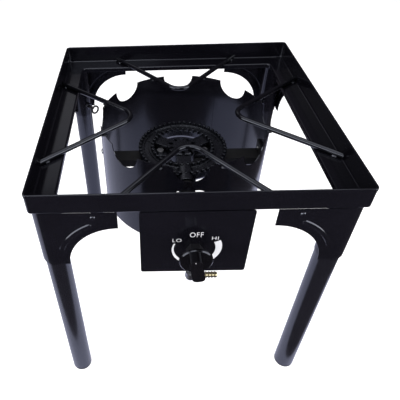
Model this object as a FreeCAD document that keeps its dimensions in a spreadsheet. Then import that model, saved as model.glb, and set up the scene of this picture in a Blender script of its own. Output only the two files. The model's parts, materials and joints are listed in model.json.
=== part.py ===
import FreeCAD, Part
import math
import os
import Sketcher

# A single burner gas stove: a square frame on four legs, with bent rods that carry the pot,
# a round wind shield hung from the rods, a cast burner on a flat bar, and a valve behind a
# front panel. Lengths are millimetres and angles degrees. +Z is up, +Y points to the back,
# and the origin is on the floor at the middle of the square.

SIZES = {
    # The whole stand
    "rim_height": 428,
    # Clearances, and how far a cut reaches past the face that it opens
    "seat_gap": 0.1,
    "running_gap": 0.05,
    "free_gap": 0.3,
    "overrun": 1,
    # Top frame
    "frame_side": 400,
    "frame_height": 30,
    "frame_sheet": 1.5,
    "frame_corner": 5,
    "hem_height": 5,
    "hem_step": 0.5,
    "flange_width": 30,
    "flange_corner": 6,
    "lip_drop": 6,
    # Pot supports
    "rod_diameter": 7.5,
    "rod_apex_reach": 81,
    "rod_bend_radius": 22,
    "rod_half_angle": 39.5,
    # Wind shield
    "shield_diameter": 254,
    "shield_sheet": 1.2,
    "shield_height": 145,
    "notch_radius": 24.5,
    "doorway_width": 48,
    "doorway_height": 106,
    "doorway_corner": 14,
    # Burner bar
    "bar_drop": 100,
    "bar_width": 26,
    "bar_sheet": 3,
    "bar_flange_drop": 10,
    "bar_tab_height": 18,
    "bar_screw_rise": 10,
    "bar_screw_diameter": 5,
    "bar_screw_head": 9,
    "bar_screw_head_height": 3,
    # Burner casting
    "burner_diameter": 138,
    "ring_width": 23,
    "ring_height": 20,
    "ring_draft": 3,
    "channel_width": 8,
    "channel_depth": 4,
    "hub_diameter": 46,
    "hub_bore": 16,
    "hub_roof": 5,
    "hub_height": 18,
    "hub_port_width": 3.6,
    "hub_port_round": 5,
    "hub_port_reach": 4,
    "hub_port_depth": 2.6,
    "web_width": 22,
    "web_height": 15,
    "lug_width": 20,
    "lug_height": 6,
    "boss_diameter": 30,
    "boss_length": 36,
    "gas_passage": 10,
    # Burner bolts
    "bolt_spacing": 70,
    "bolt_diameter": 6,
    "bolt_hex": 10,
    "bolt_head_height": 4.5,
    "bolt_tail": 2,
    # Mixing tube and air shutter
    "tube_diameter": 24,
    "tube_wall": 2,
    "tube_seat": 20,
    "air_window_setback": 4,
    "air_window_length": 8,
    "air_window_height": 12,
    "shutter_wall": 1.5,
    "shutter_length": 16,
    "shutter_flange_diameter": 34,
    "shutter_flange": 1.5,
    "shutter_screw_diameter": 3,
    "shutter_screw_length": 6,
    "shutter_screw_head": 7,
    "shutter_screw_head_height": 4,
    # Valve and jet
    "valve_drop": 96,
    "valve_diameter": 22,
    "valve_length": 30,
    "valve_foot_diameter": 14,
    "valve_foot_length": 5,
    "neck_diameter": 14,
    "neck_length": 12,
    "valve_nut_hex": 19,
    "valve_nut_height": 10,
    "outlet_diameter": 12,
    "outlet_length": 7,
    "outlet_bore": 4,
    "jet_hex": 12,
    "jet_hex_length": 8,
    "jet_nose_diameter": 7,
    "jet_nose_length": 9,
    "jet_bore": 1.5,
    "stem_diameter": 8,
    "stem_depth": 14,
    # Control knob
    "knob_gap": 3,
    "knob_hub_diameter": 18,
    "knob_hub_length": 4,
    "knob_skirt_diameter": 42,
    "knob_skirt": 4,
    "knob_skirt_bevel": 1.5,
    "grip_length": 40,
    "grip_width": 16,
    "grip_depth": 15,
    "grip_corner": 6,
    "knob_bore_depth": 14,
    "knob_rest_turn": 10,
    # Control panel
    "panel_width": 137,
    "panel_height": 112,
    "panel_sheet": 1.5,
    "panel_fold": 24,
    "panel_corner": 3,
    "panel_rivet_spacing": 104,
    # Rivets
    "rivet_diameter": 4,
    "rivet_head": 7,
    "rivet_head_height": 1.8,
    # Gas inlet
    "inlet_setback": 12,
    "inlet_drop": 169,
    "inlet_bore": 6,
    "riser_diameter": 10,
    "elbow_diameter": 14,
    "elbow_ball": 15.5,
    "elbow_height": 16,
    "elbow_reach": 11,
    "tail_hex": 12,
    "tail_hex_length": 5,
    "tail_diameter": 9,
    "tail_groove": 1.4,
    "tail_length": 21,
    "tail_bore": 4,
    # Corner brackets
    "bracket_inset": 1,
    "bracket_sheet": 1,
    "bracket_height": 93,
    "bracket_reach": 105,
    "bracket_arc": 66,
    "rib_offset": 13,
    "rib_width": 7,
    "rib_rise": 1.2,
    "rib_low_angle": 23,
    "rib_high_angle": 64,
    "bracket_rivet_reach": 76,
    "bracket_rivet_drop": 8,
    # Legs, sockets and foot caps
    "leg_diameter": 32,
    "leg_wall": 1.5,
    "socket_gap": 0.3,
    "socket_wall": 0.8,
    "socket_tail": 3,
    "cap_wall": 1.6,
    "cap_floor": 3,
    "cap_bevel": 0.8,
    "cap_plug": 17,
    # Eye screws
    "eye_drop": 106,
    "eye_reach": 38,
    "eye_screw_diameter": 6,
    "eye_ring_diameter": 17.5,
    "eye_wire": 3.5,
    "weld_nut_hex": 11,
    "weld_nut_height": 5,
}

SIDES = ("front", "right", "rear", "left")
CORNERS = ("front_left", "front_right", "rear_right", "rear_left")
QUARTER_TURN = 90
NOTCH_PAIRS = 4
WEB_ANGLES = (-90, 30, 150)
TAIL_RIBS = 5
HUB_PORTS = 10
RIB_CREST_SHARE = 0.35
RING_EDGE_SHARE = 0.6
RIVET_DOME_SHARE = 0.7
DIAGONAL_SHARE = 0.5 ** 0.5
HEX_CORNER_SHARE = 1 / 3 ** 0.5

X_AXIS = FreeCAD.Vector(1, 0, 0)
Y_AXIS = FreeCAD.Vector(0, 1, 0)
Z_AXIS = FreeCAD.Vector(0, 0, 1)
INWARD = FreeCAD.Vector(1, 1, 0)
ACROSS = FreeCAD.Vector(1, -1, 0)


class Size:
    """A size worked out from the sheet: its formula in the cells, and its value."""

    def __init__(self, text, value):
        self.text = text
        self.value = value

    def join(self, sign, other, value):
        other_text = other.text if isinstance(other, Size) else repr(other)
        return Size("(" + self.text + " " + sign + " " + other_text + ")", value)

    def __add__(self, other):
        return self.join("+", other, self.value + number(other))

    def __sub__(self, other):
        return self.join("-", other, self.value - number(other))

    def __mul__(self, other):
        return self.join("*", other, self.value * number(other))

    def __truediv__(self, other):
        return self.join("/", other, self.value / number(other))

    def __neg__(self):
        return Size("(0 - " + self.text + ")", -self.value)

    def root(self):
        return Size("sqrt(" + self.text + ")", math.sqrt(self.value))

    def sine(self):
        return Size("sin(" + self.text + ")", math.sin(math.radians(self.value)))

    def cosine(self):
        return Size("cos(" + self.text + ")", math.cos(math.radians(self.value)))


def number(size):
    return size.value if isinstance(size, Size) else size


os.makedirs("parts", exist_ok=True)
doc = FreeCAD.newDocument("gas_stove")
sheet = doc.addObject("Spreadsheet::Sheet", "sizes")
for row, (alias, value) in enumerate(SIZES.items(), start=1):
    sheet.set("A%d" % row, alias)
    sheet.set("B%d" % row, str(value))
    sheet.setAlias("B%d" % row, alias)
doc.recompute()


class Sizes:
    """The sheet's cells by name."""


s = Sizes()
for alias in SIZES:
    setattr(s, alias, Size("sizes." + alias, float(sheet.get(alias))))

nodes = []


def node(thing):
    """Marks a finished sub-part, whose label names its file."""
    nodes.append(thing)
    return thing


def bind(thing, **sizes):
    for name, size in sizes.items():
        if isinstance(size, Size):
            thing.setExpression(name, size.text)
        else:
            setattr(thing, name, size)


def place(thing, x=0, y=0, z=0, turn=None):
    base = FreeCAD.Vector(number(x), number(y), number(z))
    thing.Placement = FreeCAD.Placement(base, turn or FreeCAD.Rotation())
    for axis, size in (("x", x), ("y", y), ("z", z)):
        if isinstance(size, Size):
            thing.setExpression("Placement.Base." + axis, size.text)
    return thing


def pointing(direction):
    """The turn that lays a shape's own Z axis along a direction."""
    return FreeCAD.Rotation(Z_AXIS, direction)


def spin(angle):
    """A turn about the stove's upright middle line."""
    return FreeCAD.Rotation(Z_AXIS, angle)


def block(name, x, y, z):
    """A box between two limits on each axis."""
    box = doc.addObject("Part::Box", name)
    bind(box, Length=x[1] - x[0], Width=y[1] - y[0], Height=z[1] - z[0])
    return place(box, x[0], y[0], z[0])


def cylinder(name, diameter, length, x=0, y=0, z=0, direction=Z_AXIS):
    round_bar = doc.addObject("Part::Cylinder", name)
    bind(round_bar, Radius=diameter / 2, Height=length)
    return place(round_bar, x, y, z, pointing(direction))


def ball(name, diameter, x=0, y=0, z=0):
    sphere = doc.addObject("Part::Sphere", name)
    bind(sphere, Radius=diameter / 2)
    return place(sphere, x, y, z, spin(90))


def hexagon(name, across_flats, length, x=0, y=0, z=0, direction=Z_AXIS):
    prism = doc.addObject("Part::Prism", name)
    prism.Polygon = 6
    bind(prism, Circumradius=across_flats * HEX_CORNER_SHARE, Height=length)
    return place(prism, x, y, z, pointing(direction))


def ring(name, diameter, wire, start=0, sweep=360, x=0, y=0, z=0, direction=Z_AXIS):
    """A round ring, or part of one, by the diameter of its middle line."""
    torus = doc.addObject("Part::Torus", name)
    bind(torus, Radius1=diameter / 2, Radius2=wire / 2, Angle3=sweep)
    return place(torus, x, y, z, pointing(direction) * spin(start))


def fuse(name, *pieces):
    joined = doc.addObject("Part::MultiFuse", name)
    joined.Shapes = list(pieces)
    joined.Refine = True
    return joined


def cut(name, base, *tools):
    carved = doc.addObject("Part::Cut", name)
    carved.Base = base
    carved.Tool = tools[0] if len(tools) == 1 else fuse(name + "_tools", *tools)
    return carved


def common(name, first, second):
    shared = doc.addObject("Part::Common", name)
    shared.Base = first
    shared.Tool = second
    return shared


def group(name, *pieces):
    compound = doc.addObject("Part::Compound", name)
    compound.Links = list(pieces)
    return compound


def copies(name, form, places):
    """Like pieces of one form, each at its own place and turn."""
    made = []
    for count, (x, y, z, turn) in enumerate(places, start=1):
        made.append(place(group("%s_%d" % (name, count), form), x, y, z, turn))
    return group(name, *made)


def origin_plane(body, role):
    return [plane for plane in body.Origin.OriginFeatures if plane.Role == role][0]


def outline(body, role, corners, arcs):
    """A closed sketch through corners, some of whose edges are arcs about a centre."""
    sketch = body.newObject("Sketcher::SketchObject", body.Name + "_outline")
    sketch.AttachmentSupport = [(origin_plane(body, role), "")]
    sketch.MapMode = "FlatFace"
    points = [FreeCAD.Vector(number(u), number(v), 0) for u, v in corners]
    ends = []
    for index, start in enumerate(points):
        end = points[(index + 1) % len(points)]
        if index in arcs:
            radius, centre = arcs[index]
            middle = FreeCAD.Vector(number(centre[0]), number(centre[1]), 0)
            bulge = (start + end) / 2 - middle
            crown = middle + bulge.normalize() * number(radius)
            curve = Part.Arc(start, crown, end)
            edge = sketch.addGeometry(curve)
            drawn = sketch.Geometry[edge].StartPoint
            forward = drawn.distanceToPoint(start) < drawn.distanceToPoint(end)
            ends.append((edge, 1, 2) if forward else (edge, 2, 1))
            size = sketch.addConstraint(Sketcher.Constraint("Radius", edge, number(radius)))
            sketch.setExpression("Constraints[%d]" % size, radius.text)
        else:
            ends.append((sketch.addGeometry(Part.LineSegment(start, end)), 1, 2))
    for index, (edge, first, last) in enumerate(ends):
        following, start, _ = ends[(index + 1) % len(ends)]
        sketch.addConstraint(Sketcher.Constraint("Coincident", edge, last, following, start))
        for kind, axis, size in zip(("DistanceX", "DistanceY"), (-2, -1), corners[index]):
            if isinstance(size, Size):
                rule = Sketcher.Constraint(kind, -1, 1, edge, first, number(size))
                sketch.setExpression("Constraints[%d]" % sketch.addConstraint(rule), size.text)
            else:
                sketch.addConstraint(Sketcher.Constraint("PointOnObject", edge, first, axis))
    return sketch


def turned(name, profile, x=0, y=0, z=0, direction=Z_AXIS):
    """A round piece from its half profile, each corner a radius and a height."""
    body = doc.addObject("PartDesign::Body", name)
    sketch = outline(body, "XZ_Plane", profile, {})
    revolution = body.newObject("PartDesign::Revolution", name + "_turned")
    revolution.Profile = sketch
    revolution.ReferenceAxis = (sketch, ["V_Axis"])
    revolution.Angle = 360
    return place(body, x, y, z, pointing(direction))


def rounded_slab(name, role, u, v, radius, depth, x=0, y=0, z=0):
    """A slab with four round corners, drawn on an origin plane between two limits each way."""
    body = doc.addObject("PartDesign::Body", name)
    left, right = u
    low, high = v
    corners = [
        (left + radius, low), (right - radius, low), (right, low + radius), (right, high - radius),
        (right - radius, high), (left + radius, high), (left, high - radius), (left, low + radius),
    ]
    arcs = {
        1: (radius, (right - radius, low + radius)),
        3: (radius, (right - radius, high - radius)),
        5: (radius, (left + radius, high - radius)),
        7: (radius, (left + radius, low + radius)),
    }
    pad = body.newObject("PartDesign::Pad", name + "_pad")
    pad.Profile = outline(body, role, corners, arcs)
    bind(pad, Length=depth)
    return place(body, x, y, z)


def square_slab(name, half, radius, low, high):
    """A level square slab about the stove's middle, with round corners."""
    return rounded_slab(name, "XY_Plane", (-half, half), (-half, half), radius, high - low, z=low)


# Levels and faces that several pieces share
rim = s.rim_height
frame_floor = rim - s.frame_height
flange_top = frame_floor + s.frame_sheet
lip_bottom = frame_floor - s.lip_drop
rod_level = flange_top + s.rod_diameter / 2
wall_half = s.frame_side / 2 - s.hem_step
cavity_half = wall_half - s.frame_sheet
opening_half = s.frame_side / 2 - s.flange_width
shield_inside = s.shield_diameter - s.shield_sheet * 2
shield_bottom = rod_level - s.shield_height
bar_top = rim - s.bar_drop
valve_level = rim - s.valve_drop
panel_face = -wall_half
panel_back = panel_face + s.panel_sheet
valve_back = panel_back + s.valve_length
outlet_end = valve_back + s.outlet_length
tube_front = outlet_end + s.jet_hex_length
neck_front = panel_back - s.neck_length
ring_outside = s.burner_diameter / 2
ring_inside = ring_outside - s.ring_width
boss_front = -(ring_inside + s.boss_length)
tube_end = boss_front + s.tube_seat
inlet_y = panel_back + s.inlet_setback
inlet_level = rim - s.inlet_drop
bracket_half = s.frame_side / 2 - s.bracket_inset
bracket_bottom = frame_floor - s.bracket_height
socket_bore = s.leg_diameter + s.socket_gap * 2
socket_outside = socket_bore + s.socket_wall * 2
leg_place = bracket_half - s.bracket_sheet - s.seat_gap - socket_outside / 2
rivet_y = panel_face + s.panel_fold / 2


def rivet_form(name, grip):
    """A rivet through a stack of sheets, with a dome head at both ends."""
    dome = s.rivet_head / 2
    crown = dome * RIVET_DOME_SHARE
    rise = s.rivet_head_height
    shank = s.rivet_diameter / 2 - s.seat_gap
    profile = [
        (0, -rise), (crown, -rise), (dome, -rise * (1 - RIVET_DOME_SHARE)), (dome, 0), (shank, 0),
        (shank, grip), (dome, grip), (dome, grip + rise * (1 - RIVET_DOME_SHARE)),
        (crown, grip + rise), (0, grip + rise),
    ]
    return turned(name, profile)


def make_top_frame():
    wall = square_slab("frame_wall", wall_half, s.frame_corner, frame_floor, rim)
    hem = square_slab("frame_hem", s.frame_side / 2, s.frame_corner + s.hem_step, rim - s.hem_height, rim)
    lip = square_slab("frame_lip", opening_half + s.frame_sheet, s.flange_corner + s.frame_sheet,
                      lip_bottom, flange_top)
    cavity = square_slab("frame_cavity", cavity_half, s.frame_corner - s.frame_sheet,
                         flange_top, rim + s.overrun)
    opening = square_slab("frame_opening", opening_half, s.flange_corner,
                          lip_bottom - s.overrun, rim + s.overrun)
    holes = []
    for side in (-1, 1):
        holes.append(cylinder("frame_rivet_hole", s.rivet_diameter, s.frame_sheet + s.overrun * 2,
                              s.panel_rivet_spacing * (side / 2), rivet_y, frame_floor - s.overrun))
    node(cut("top_frame", fuse("frame_form", wall, hem, lip), cavity, opening, *holes))


def rod_form(name, thick):
    """The bent rod of the rear side, as thick as asked, with arms that reach past the wall."""
    lean = s.rod_half_angle
    bend = s.rod_bend_radius
    bend_y = s.rod_apex_reach + bend
    arm_x = bend * lean.cosine()
    arm_y = bend_y - bend * lean.sine()
    arm_length = (cavity_half - arm_y) / lean.cosine() + s.rod_diameter
    pieces = [ring(name + "_bend", bend * 2, thick, number(lean) - 180, -lean * 2 + 180,
                   y=bend_y, z=rod_level)]
    for side in (-1, 1):
        direction = FreeCAD.Vector(side * number(lean.sine()), number(lean.cosine()), 0)
        pieces.append(cylinder(name + "_arm", thick, arm_length, arm_x * side, arm_y, rod_level, direction))
    return fuse(name, *pieces)


def make_pot_supports():
    rod = rod_form("rod_form", s.rod_diameter)
    across = (-cavity_half, cavity_half)
    inside = block("rod_limits", across, across, (flange_top, rim))
    for quarter, side in enumerate(SIDES):
        support = node(common("pot_support_" + side, rod, inside))
        place(support, turn=spin(180 + quarter * QUARTER_TURN))


def make_wind_shield():
    wall = cylinder("shield_wall", s.shield_diameter, s.shield_height, z=shield_bottom)
    hollow = cylinder("shield_hollow", shield_inside, s.shield_height + s.overrun * 2,
                      z=shield_bottom - s.overrun)
    tools = [hollow]
    reach = s.shield_diameter / 2 + s.overrun
    for pair in range(NOTCH_PAIRS):
        direction = spin(pair * 180 / NOTCH_PAIRS).multVec(X_AXIS)
        tools.append(cylinder("shield_notch", s.notch_radius * 2, reach * 2,
                              reach * -direction.x, reach * -direction.y, rod_level, direction))
    door_half = s.doorway_width / 2
    door_low = shield_bottom - s.doorway_corner - s.overrun
    door_high = shield_bottom + s.doorway_height
    tools.append(rounded_slab("shield_doorway", "XZ_Plane", (-door_half, door_half), (door_low, door_high),
                              s.doorway_corner, reach))
    for side in (-1, 1):
        tools.append(cylinder("shield_screw_hole", s.bar_screw_diameter, s.shield_sheet + s.overrun * 2,
                              reach * side, 0, bar_top + s.bar_screw_rise, X_AXIS * -side))
    seats = rod_form("rod_seat", s.rod_diameter + s.seat_gap * 2)
    quarters = [(0, 0, 0, spin(quarter * QUARTER_TURN)) for quarter in range(len(SIDES))]
    tube = cut("shield_tube", wall, *tools)
    node(cut("wind_shield", tube, copies("rod_seats", seats, quarters)))


def make_burner_bar():
    half_width = s.bar_width / 2
    inside = shield_inside / 2
    tab_face = (inside * inside - half_width * half_width).root() - s.seat_gap
    bar_bottom = bar_top - s.bar_sheet
    pieces = [block("bar_strip", (-tab_face, tab_face), (-half_width, half_width), (bar_bottom, bar_top))]
    tools = []
    screw_level = bar_top + s.bar_screw_rise
    for side in (-1, 1):
        y_limits = sorted((half_width * side, (half_width - s.bar_sheet) * side), key=number)
        pieces.append(block("bar_flange", (-tab_face, tab_face), y_limits,
                            (bar_bottom - s.bar_flange_drop, bar_bottom)))
        x_limits = sorted((tab_face * side, (tab_face - s.bar_sheet) * side), key=number)
        pieces.append(block("bar_tab", x_limits, (-half_width, half_width),
                            (bar_bottom, bar_top + s.bar_tab_height)))
        tools.append(cylinder("bar_screw_hole", s.bar_screw_diameter, s.bar_sheet + s.overrun * 2,
                              (tab_face + s.overrun) * side, 0, screw_level, X_AXIS * -side))
        tools.append(cylinder("bar_bolt_hole", s.bolt_diameter, s.bar_sheet + s.overrun * 2,
                              s.bolt_spacing * (side / 2), 0, bar_bottom - s.overrun))
    node(cut("burner_bar", fuse("bar_form", *pieces), *tools))

    shank = s.bar_screw_diameter / 2 - s.seat_gap
    head = s.bar_screw_head / 2
    head_face = s.shield_diameter / 2 + s.seat_gap
    stack = head_face - tab_face + s.bar_sheet + s.bar_screw_head_height
    screw = turned("bar_screw_form", [
        (0, 0), (head * RIVET_DOME_SHARE, 0), (head, s.bar_screw_head_height / 2),
        (head, s.bar_screw_head_height), (shank, s.bar_screw_head_height),
        (shank, stack + s.bar_screw_head_height), (0, stack + s.bar_screw_head_height),
    ])
    start = head_face + s.bar_screw_head_height
    node(copies("bar_screws", screw, [
        (-start, 0, screw_level, pointing(X_AXIS)),
        (start, 0, screw_level, pointing(-X_AXIS)),
    ]))


def hub_port(name, angle):
    """A cutter for one keyhole port in the top edge of the hub."""
    half = s.hub_port_width / 2
    edge = s.hub_diameter / 2
    low = bar_top + s.hub_height - s.hub_port_depth
    slot = block(name + "_slot", (edge - s.hub_port_reach, edge + s.overrun), (-half, half),
                 (low, low + s.hub_port_depth + s.overrun))
    well = cylinder(name + "_well", s.hub_port_round, s.hub_port_depth + s.overrun,
                    edge - s.hub_port_reach, 0, low)
    return place(fuse(name, slot, well), turn=spin(angle))


def make_burner():
    ring_top = s.ring_height
    middle = ring_inside + s.ring_width / 2
    half_channel = s.channel_width / 2
    edge = s.ring_height * RING_EDGE_SHARE
    outer_ring = turned("burner_ring", [
        (ring_inside + s.ring_draft, 0), (ring_outside - s.ring_draft, 0), (ring_outside, edge),
        (ring_outside, ring_top), (middle + half_channel, ring_top),
        (middle + half_channel, ring_top - s.channel_depth),
        (middle - half_channel, ring_top - s.channel_depth), (middle - half_channel, ring_top),
        (ring_inside, ring_top), (ring_inside, edge),
    ], z=bar_top)
    hub = cylinder("burner_hub", s.hub_diameter, s.hub_height, z=bar_top)
    half_web = s.web_width / 2
    web = block("burner_web", (s.hub_diameter / 4, middle), (-half_web, half_web),
                (bar_top, bar_top + s.web_height))
    webs = [place(group("burner_web_%d" % count, web), turn=spin(angle))
            for count, angle in enumerate(WEB_ANGLES)]
    half_lug = s.lug_width / 2
    lug = block("burner_lug", (-middle, middle), (-half_lug, half_lug), (bar_top, bar_top + s.lug_height))
    boss = cylinder("burner_boss", s.boss_diameter, s.boss_length, 0, boss_front, valve_level, Y_AXIS)
    passage_level = bar_top + s.web_height / 2
    tools = [
        cylinder("hub_bore", s.hub_bore, s.hub_height - s.hub_roof + s.overrun, z=bar_top - s.overrun),
        cylinder("tube_seat_bore", s.tube_diameter + s.seat_gap * 2, s.tube_seat + s.overrun,
                 0, boss_front - s.overrun, valve_level, Y_AXIS),
        cylinder("gas_passage_bore", s.gas_passage, -tube_end,
                 0, tube_end - s.overrun, passage_level, Y_AXIS),
    ]
    tools.extend(hub_port("hub_port_%d" % count, 360 * count / HUB_PORTS) for count in range(HUB_PORTS))
    bolts = []
    nuts = []
    shank = s.bolt_diameter - s.seat_gap * 2
    head_seat = bar_top + s.lug_height
    nut_top = bar_top - s.bar_sheet
    for count, side in enumerate((-1, 1), start=1):
        x = s.bolt_spacing * (side / 2)
        tools.append(cylinder("lug_hole", s.bolt_diameter, s.lug_height + s.overrun * 2,
                              x, 0, bar_top - s.overrun))
        head = hexagon("bolt_head", s.bolt_hex, s.bolt_head_height, x, 0, head_seat)
        tail = nut_top - s.bolt_head_height - s.bolt_tail
        stud = cylinder("bolt_shank", shank, head_seat - tail, x, 0, tail)
        bolts.append(fuse("burner_bolt_%d" % count, head, stud))
        blank = hexagon("nut_blank", s.bolt_hex, s.bolt_head_height, x, 0, nut_top - s.bolt_head_height)
        bore = cylinder("nut_bore", s.bolt_diameter, s.bolt_head_height + s.overrun * 2,
                        x, 0, nut_top - s.bolt_head_height - s.overrun)
        nuts.append(cut("burner_nut_%d" % count, blank, bore))
    node(cut("burner_casting", fuse("burner_form", outer_ring, hub, lug, boss, *webs), *tools))
    node(group("burner_bolts", *bolts))
    node(group("burner_nuts", *nuts))


def air_windows(name, across):
    """A cutter for the two air windows, through both sides of a tube."""
    low = tube_front + s.air_window_setback
    half = s.air_window_height / 2
    return block(name, (-across, across), (low, low + s.air_window_length),
                 (valve_level - half, valve_level + half))


def make_mixing_tube():
    length = tube_end - tube_front
    outside = cylinder("tube_outside", s.tube_diameter, length, 0, tube_front, valve_level, Y_AXIS)
    inside = cylinder("tube_inside", s.tube_diameter - s.tube_wall * 2, length,
                      0, tube_front + s.tube_wall, valve_level, Y_AXIS)
    jet_hole = cylinder("tube_jet_hole", s.jet_nose_diameter + s.seat_gap * 2, s.tube_wall + s.overrun * 2,
                        0, tube_front - s.overrun, valve_level, Y_AXIS)
    node(cut("mixing_tube", outside, inside, jet_hole, air_windows("tube_windows", s.tube_diameter)))

    bore = s.tube_diameter + s.running_gap * 2
    sleeve_outside = bore + s.shutter_wall * 2
    sleeve = cylinder("shutter_sleeve", sleeve_outside, s.shutter_length, 0, tube_front, valve_level, Y_AXIS)
    flange = cylinder("shutter_rim", s.shutter_flange_diameter, s.shutter_flange,
                      0, tube_front, valve_level, Y_AXIS)
    hollow = cylinder("shutter_bore", bore, s.shutter_length + s.overrun * 2,
                      0, tube_front - s.overrun, valve_level, Y_AXIS)
    screw_y = tube_front + s.shutter_length / 2
    screw_hole = cylinder("shutter_screw_hole", s.shutter_screw_diameter, s.tube_diameter,
                          0, screw_y, valve_level)
    node(cut("air_shutter", fuse("shutter_form", sleeve, flange), hollow, screw_hole,
             air_windows("shutter_windows", s.shutter_flange_diameter)))

    tip = valve_level + s.tube_diameter / 2 + s.free_gap
    shank = cylinder("shutter_shank", s.shutter_screw_diameter - s.seat_gap * 2, s.shutter_screw_length,
                     0, screw_y, tip)
    head = cylinder("shutter_head", s.shutter_screw_head, s.shutter_screw_head_height,
                    0, screw_y, tip + s.shutter_screw_length - s.overrun)
    node(fuse("shutter_screw", shank, head))


def make_valve():
    barrel = cylinder("valve_barrel", s.valve_diameter, s.valve_length, 0, panel_back, valve_level, Y_AXIS)
    neck = cylinder("valve_neck", s.neck_diameter, s.neck_length + s.overrun,
                    0, neck_front, valve_level, Y_AXIS)
    outlet = cylinder("valve_outlet", s.outlet_diameter, s.outlet_length + s.overrun,
                      0, valve_back - s.overrun, valve_level, Y_AXIS)
    foot_bottom = valve_level - s.valve_diameter / 2 - s.valve_foot_length
    foot = cylinder("valve_foot", s.valve_foot_diameter, valve_level - foot_bottom, 0, inlet_y, foot_bottom)
    stem_end = panel_back + s.stem_depth
    stem_bore = cylinder("stem_bore", s.stem_diameter + s.running_gap * 2,
                         stem_end + s.free_gap - neck_front + s.overrun,
                         0, neck_front - s.overrun, valve_level, Y_AXIS)
    gas_bore = cylinder("outlet_bore", s.outlet_bore, outlet_end - stem_end + s.overrun,
                        0, stem_end, valve_level, Y_AXIS)
    foot_bore = cylinder("foot_bore", s.inlet_bore, valve_level - foot_bottom + s.overrun,
                         0, inlet_y, foot_bottom - s.overrun)
    node(cut("valve_body", fuse("valve_form", barrel, neck, outlet, foot), stem_bore, gas_bore, foot_bore))

    nut = hexagon("valve_nut_blank", s.valve_nut_hex, s.valve_nut_height,
                  0, panel_face, valve_level, -Y_AXIS)
    nut_bore = cylinder("valve_nut_bore", s.neck_diameter + s.seat_gap * 2,
                        s.valve_nut_height + s.overrun * 2, 0, panel_face + s.overrun, valve_level, -Y_AXIS)
    node(cut("valve_nut", nut, nut_bore))

    jet_hex = hexagon("jet_hex_form", s.jet_hex, s.jet_hex_length, 0, outlet_end, valve_level, Y_AXIS)
    nose = cylinder("jet_nose", s.jet_nose_diameter, s.jet_nose_length + s.overrun,
                    0, tube_front - s.overrun, valve_level, Y_AXIS)
    jet_bore = cylinder("jet_hole", s.jet_bore, s.jet_hex_length + s.jet_nose_length + s.overrun * 2,
                        0, outlet_end - s.overrun, valve_level, Y_AXIS)
    node(cut("gas_jet", fuse("jet_form", jet_hex, nose), jet_bore))


def make_knob():
    knob_back = neck_front - s.knob_gap
    stem_end = panel_back + s.stem_depth
    stem_length = stem_end - knob_back + s.knob_bore_depth - s.free_gap
    node(cylinder("valve_stem", s.stem_diameter, stem_length, 0, stem_end, valve_level, -Y_AXIS))

    hub = s.knob_hub_diameter / 2
    skirt = s.knob_skirt_diameter / 2
    skirt_front = s.knob_hub_length + s.knob_skirt
    disc = turned("knob_disc", [
        (0, 0), (hub, 0), (hub, s.knob_hub_length), (skirt, s.knob_hub_length),
        (skirt, skirt_front - s.knob_skirt_bevel), (skirt - s.knob_skirt_bevel, skirt_front),
        (0, skirt_front),
    ], y=knob_back, direction=-Y_AXIS)
    half_width = s.grip_width / 2
    half_length = s.grip_length / 2
    grip = rounded_slab("knob_grip", "XZ_Plane", (-half_width, half_width), (-half_length, half_length),
                        s.grip_corner, s.grip_depth + s.overrun, y=knob_back - skirt_front + s.overrun)
    bore = cylinder("knob_bore", s.stem_diameter + s.seat_gap * 2, s.knob_bore_depth + s.overrun,
                    0, knob_back + s.overrun, 0, -Y_AXIS)
    knob = node(cut("control_knob", fuse("knob_form", disc, grip), bore))
    place(knob, z=valve_level, turn=FreeCAD.Rotation(-Y_AXIS, number(s.knob_rest_turn)))


def make_control_panel():
    half = s.panel_width / 2
    face = rounded_slab("panel_plate", "XZ_Plane", (-half, half), (frame_floor - s.panel_height, frame_floor),
                        s.panel_corner, s.panel_sheet, y=panel_back)
    fold = block("panel_top", (-half + s.panel_corner, half - s.panel_corner),
                 (panel_face, panel_face + s.panel_fold), (frame_floor - s.panel_sheet, frame_floor))
    tools = [cylinder("panel_neck_hole", s.neck_diameter + s.seat_gap * 2, s.panel_sheet + s.overrun * 2,
                      0, panel_face - s.overrun, valve_level, Y_AXIS)]
    places = []
    for side in (-1, 1):
        x = s.panel_rivet_spacing * (side / 2)
        tools.append(cylinder("panel_rivet_hole", s.rivet_diameter, s.panel_sheet + s.overrun * 2,
                              x, rivet_y, frame_floor - s.panel_sheet - s.overrun))
        places.append((x, rivet_y, frame_floor - s.panel_sheet, spin(0)))
    node(cut("control_panel", fuse("panel_form", face, fold), *tools))
    node(copies("panel_rivets", rivet_form("panel_rivet_form", s.panel_sheet + s.frame_sheet), places))


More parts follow.
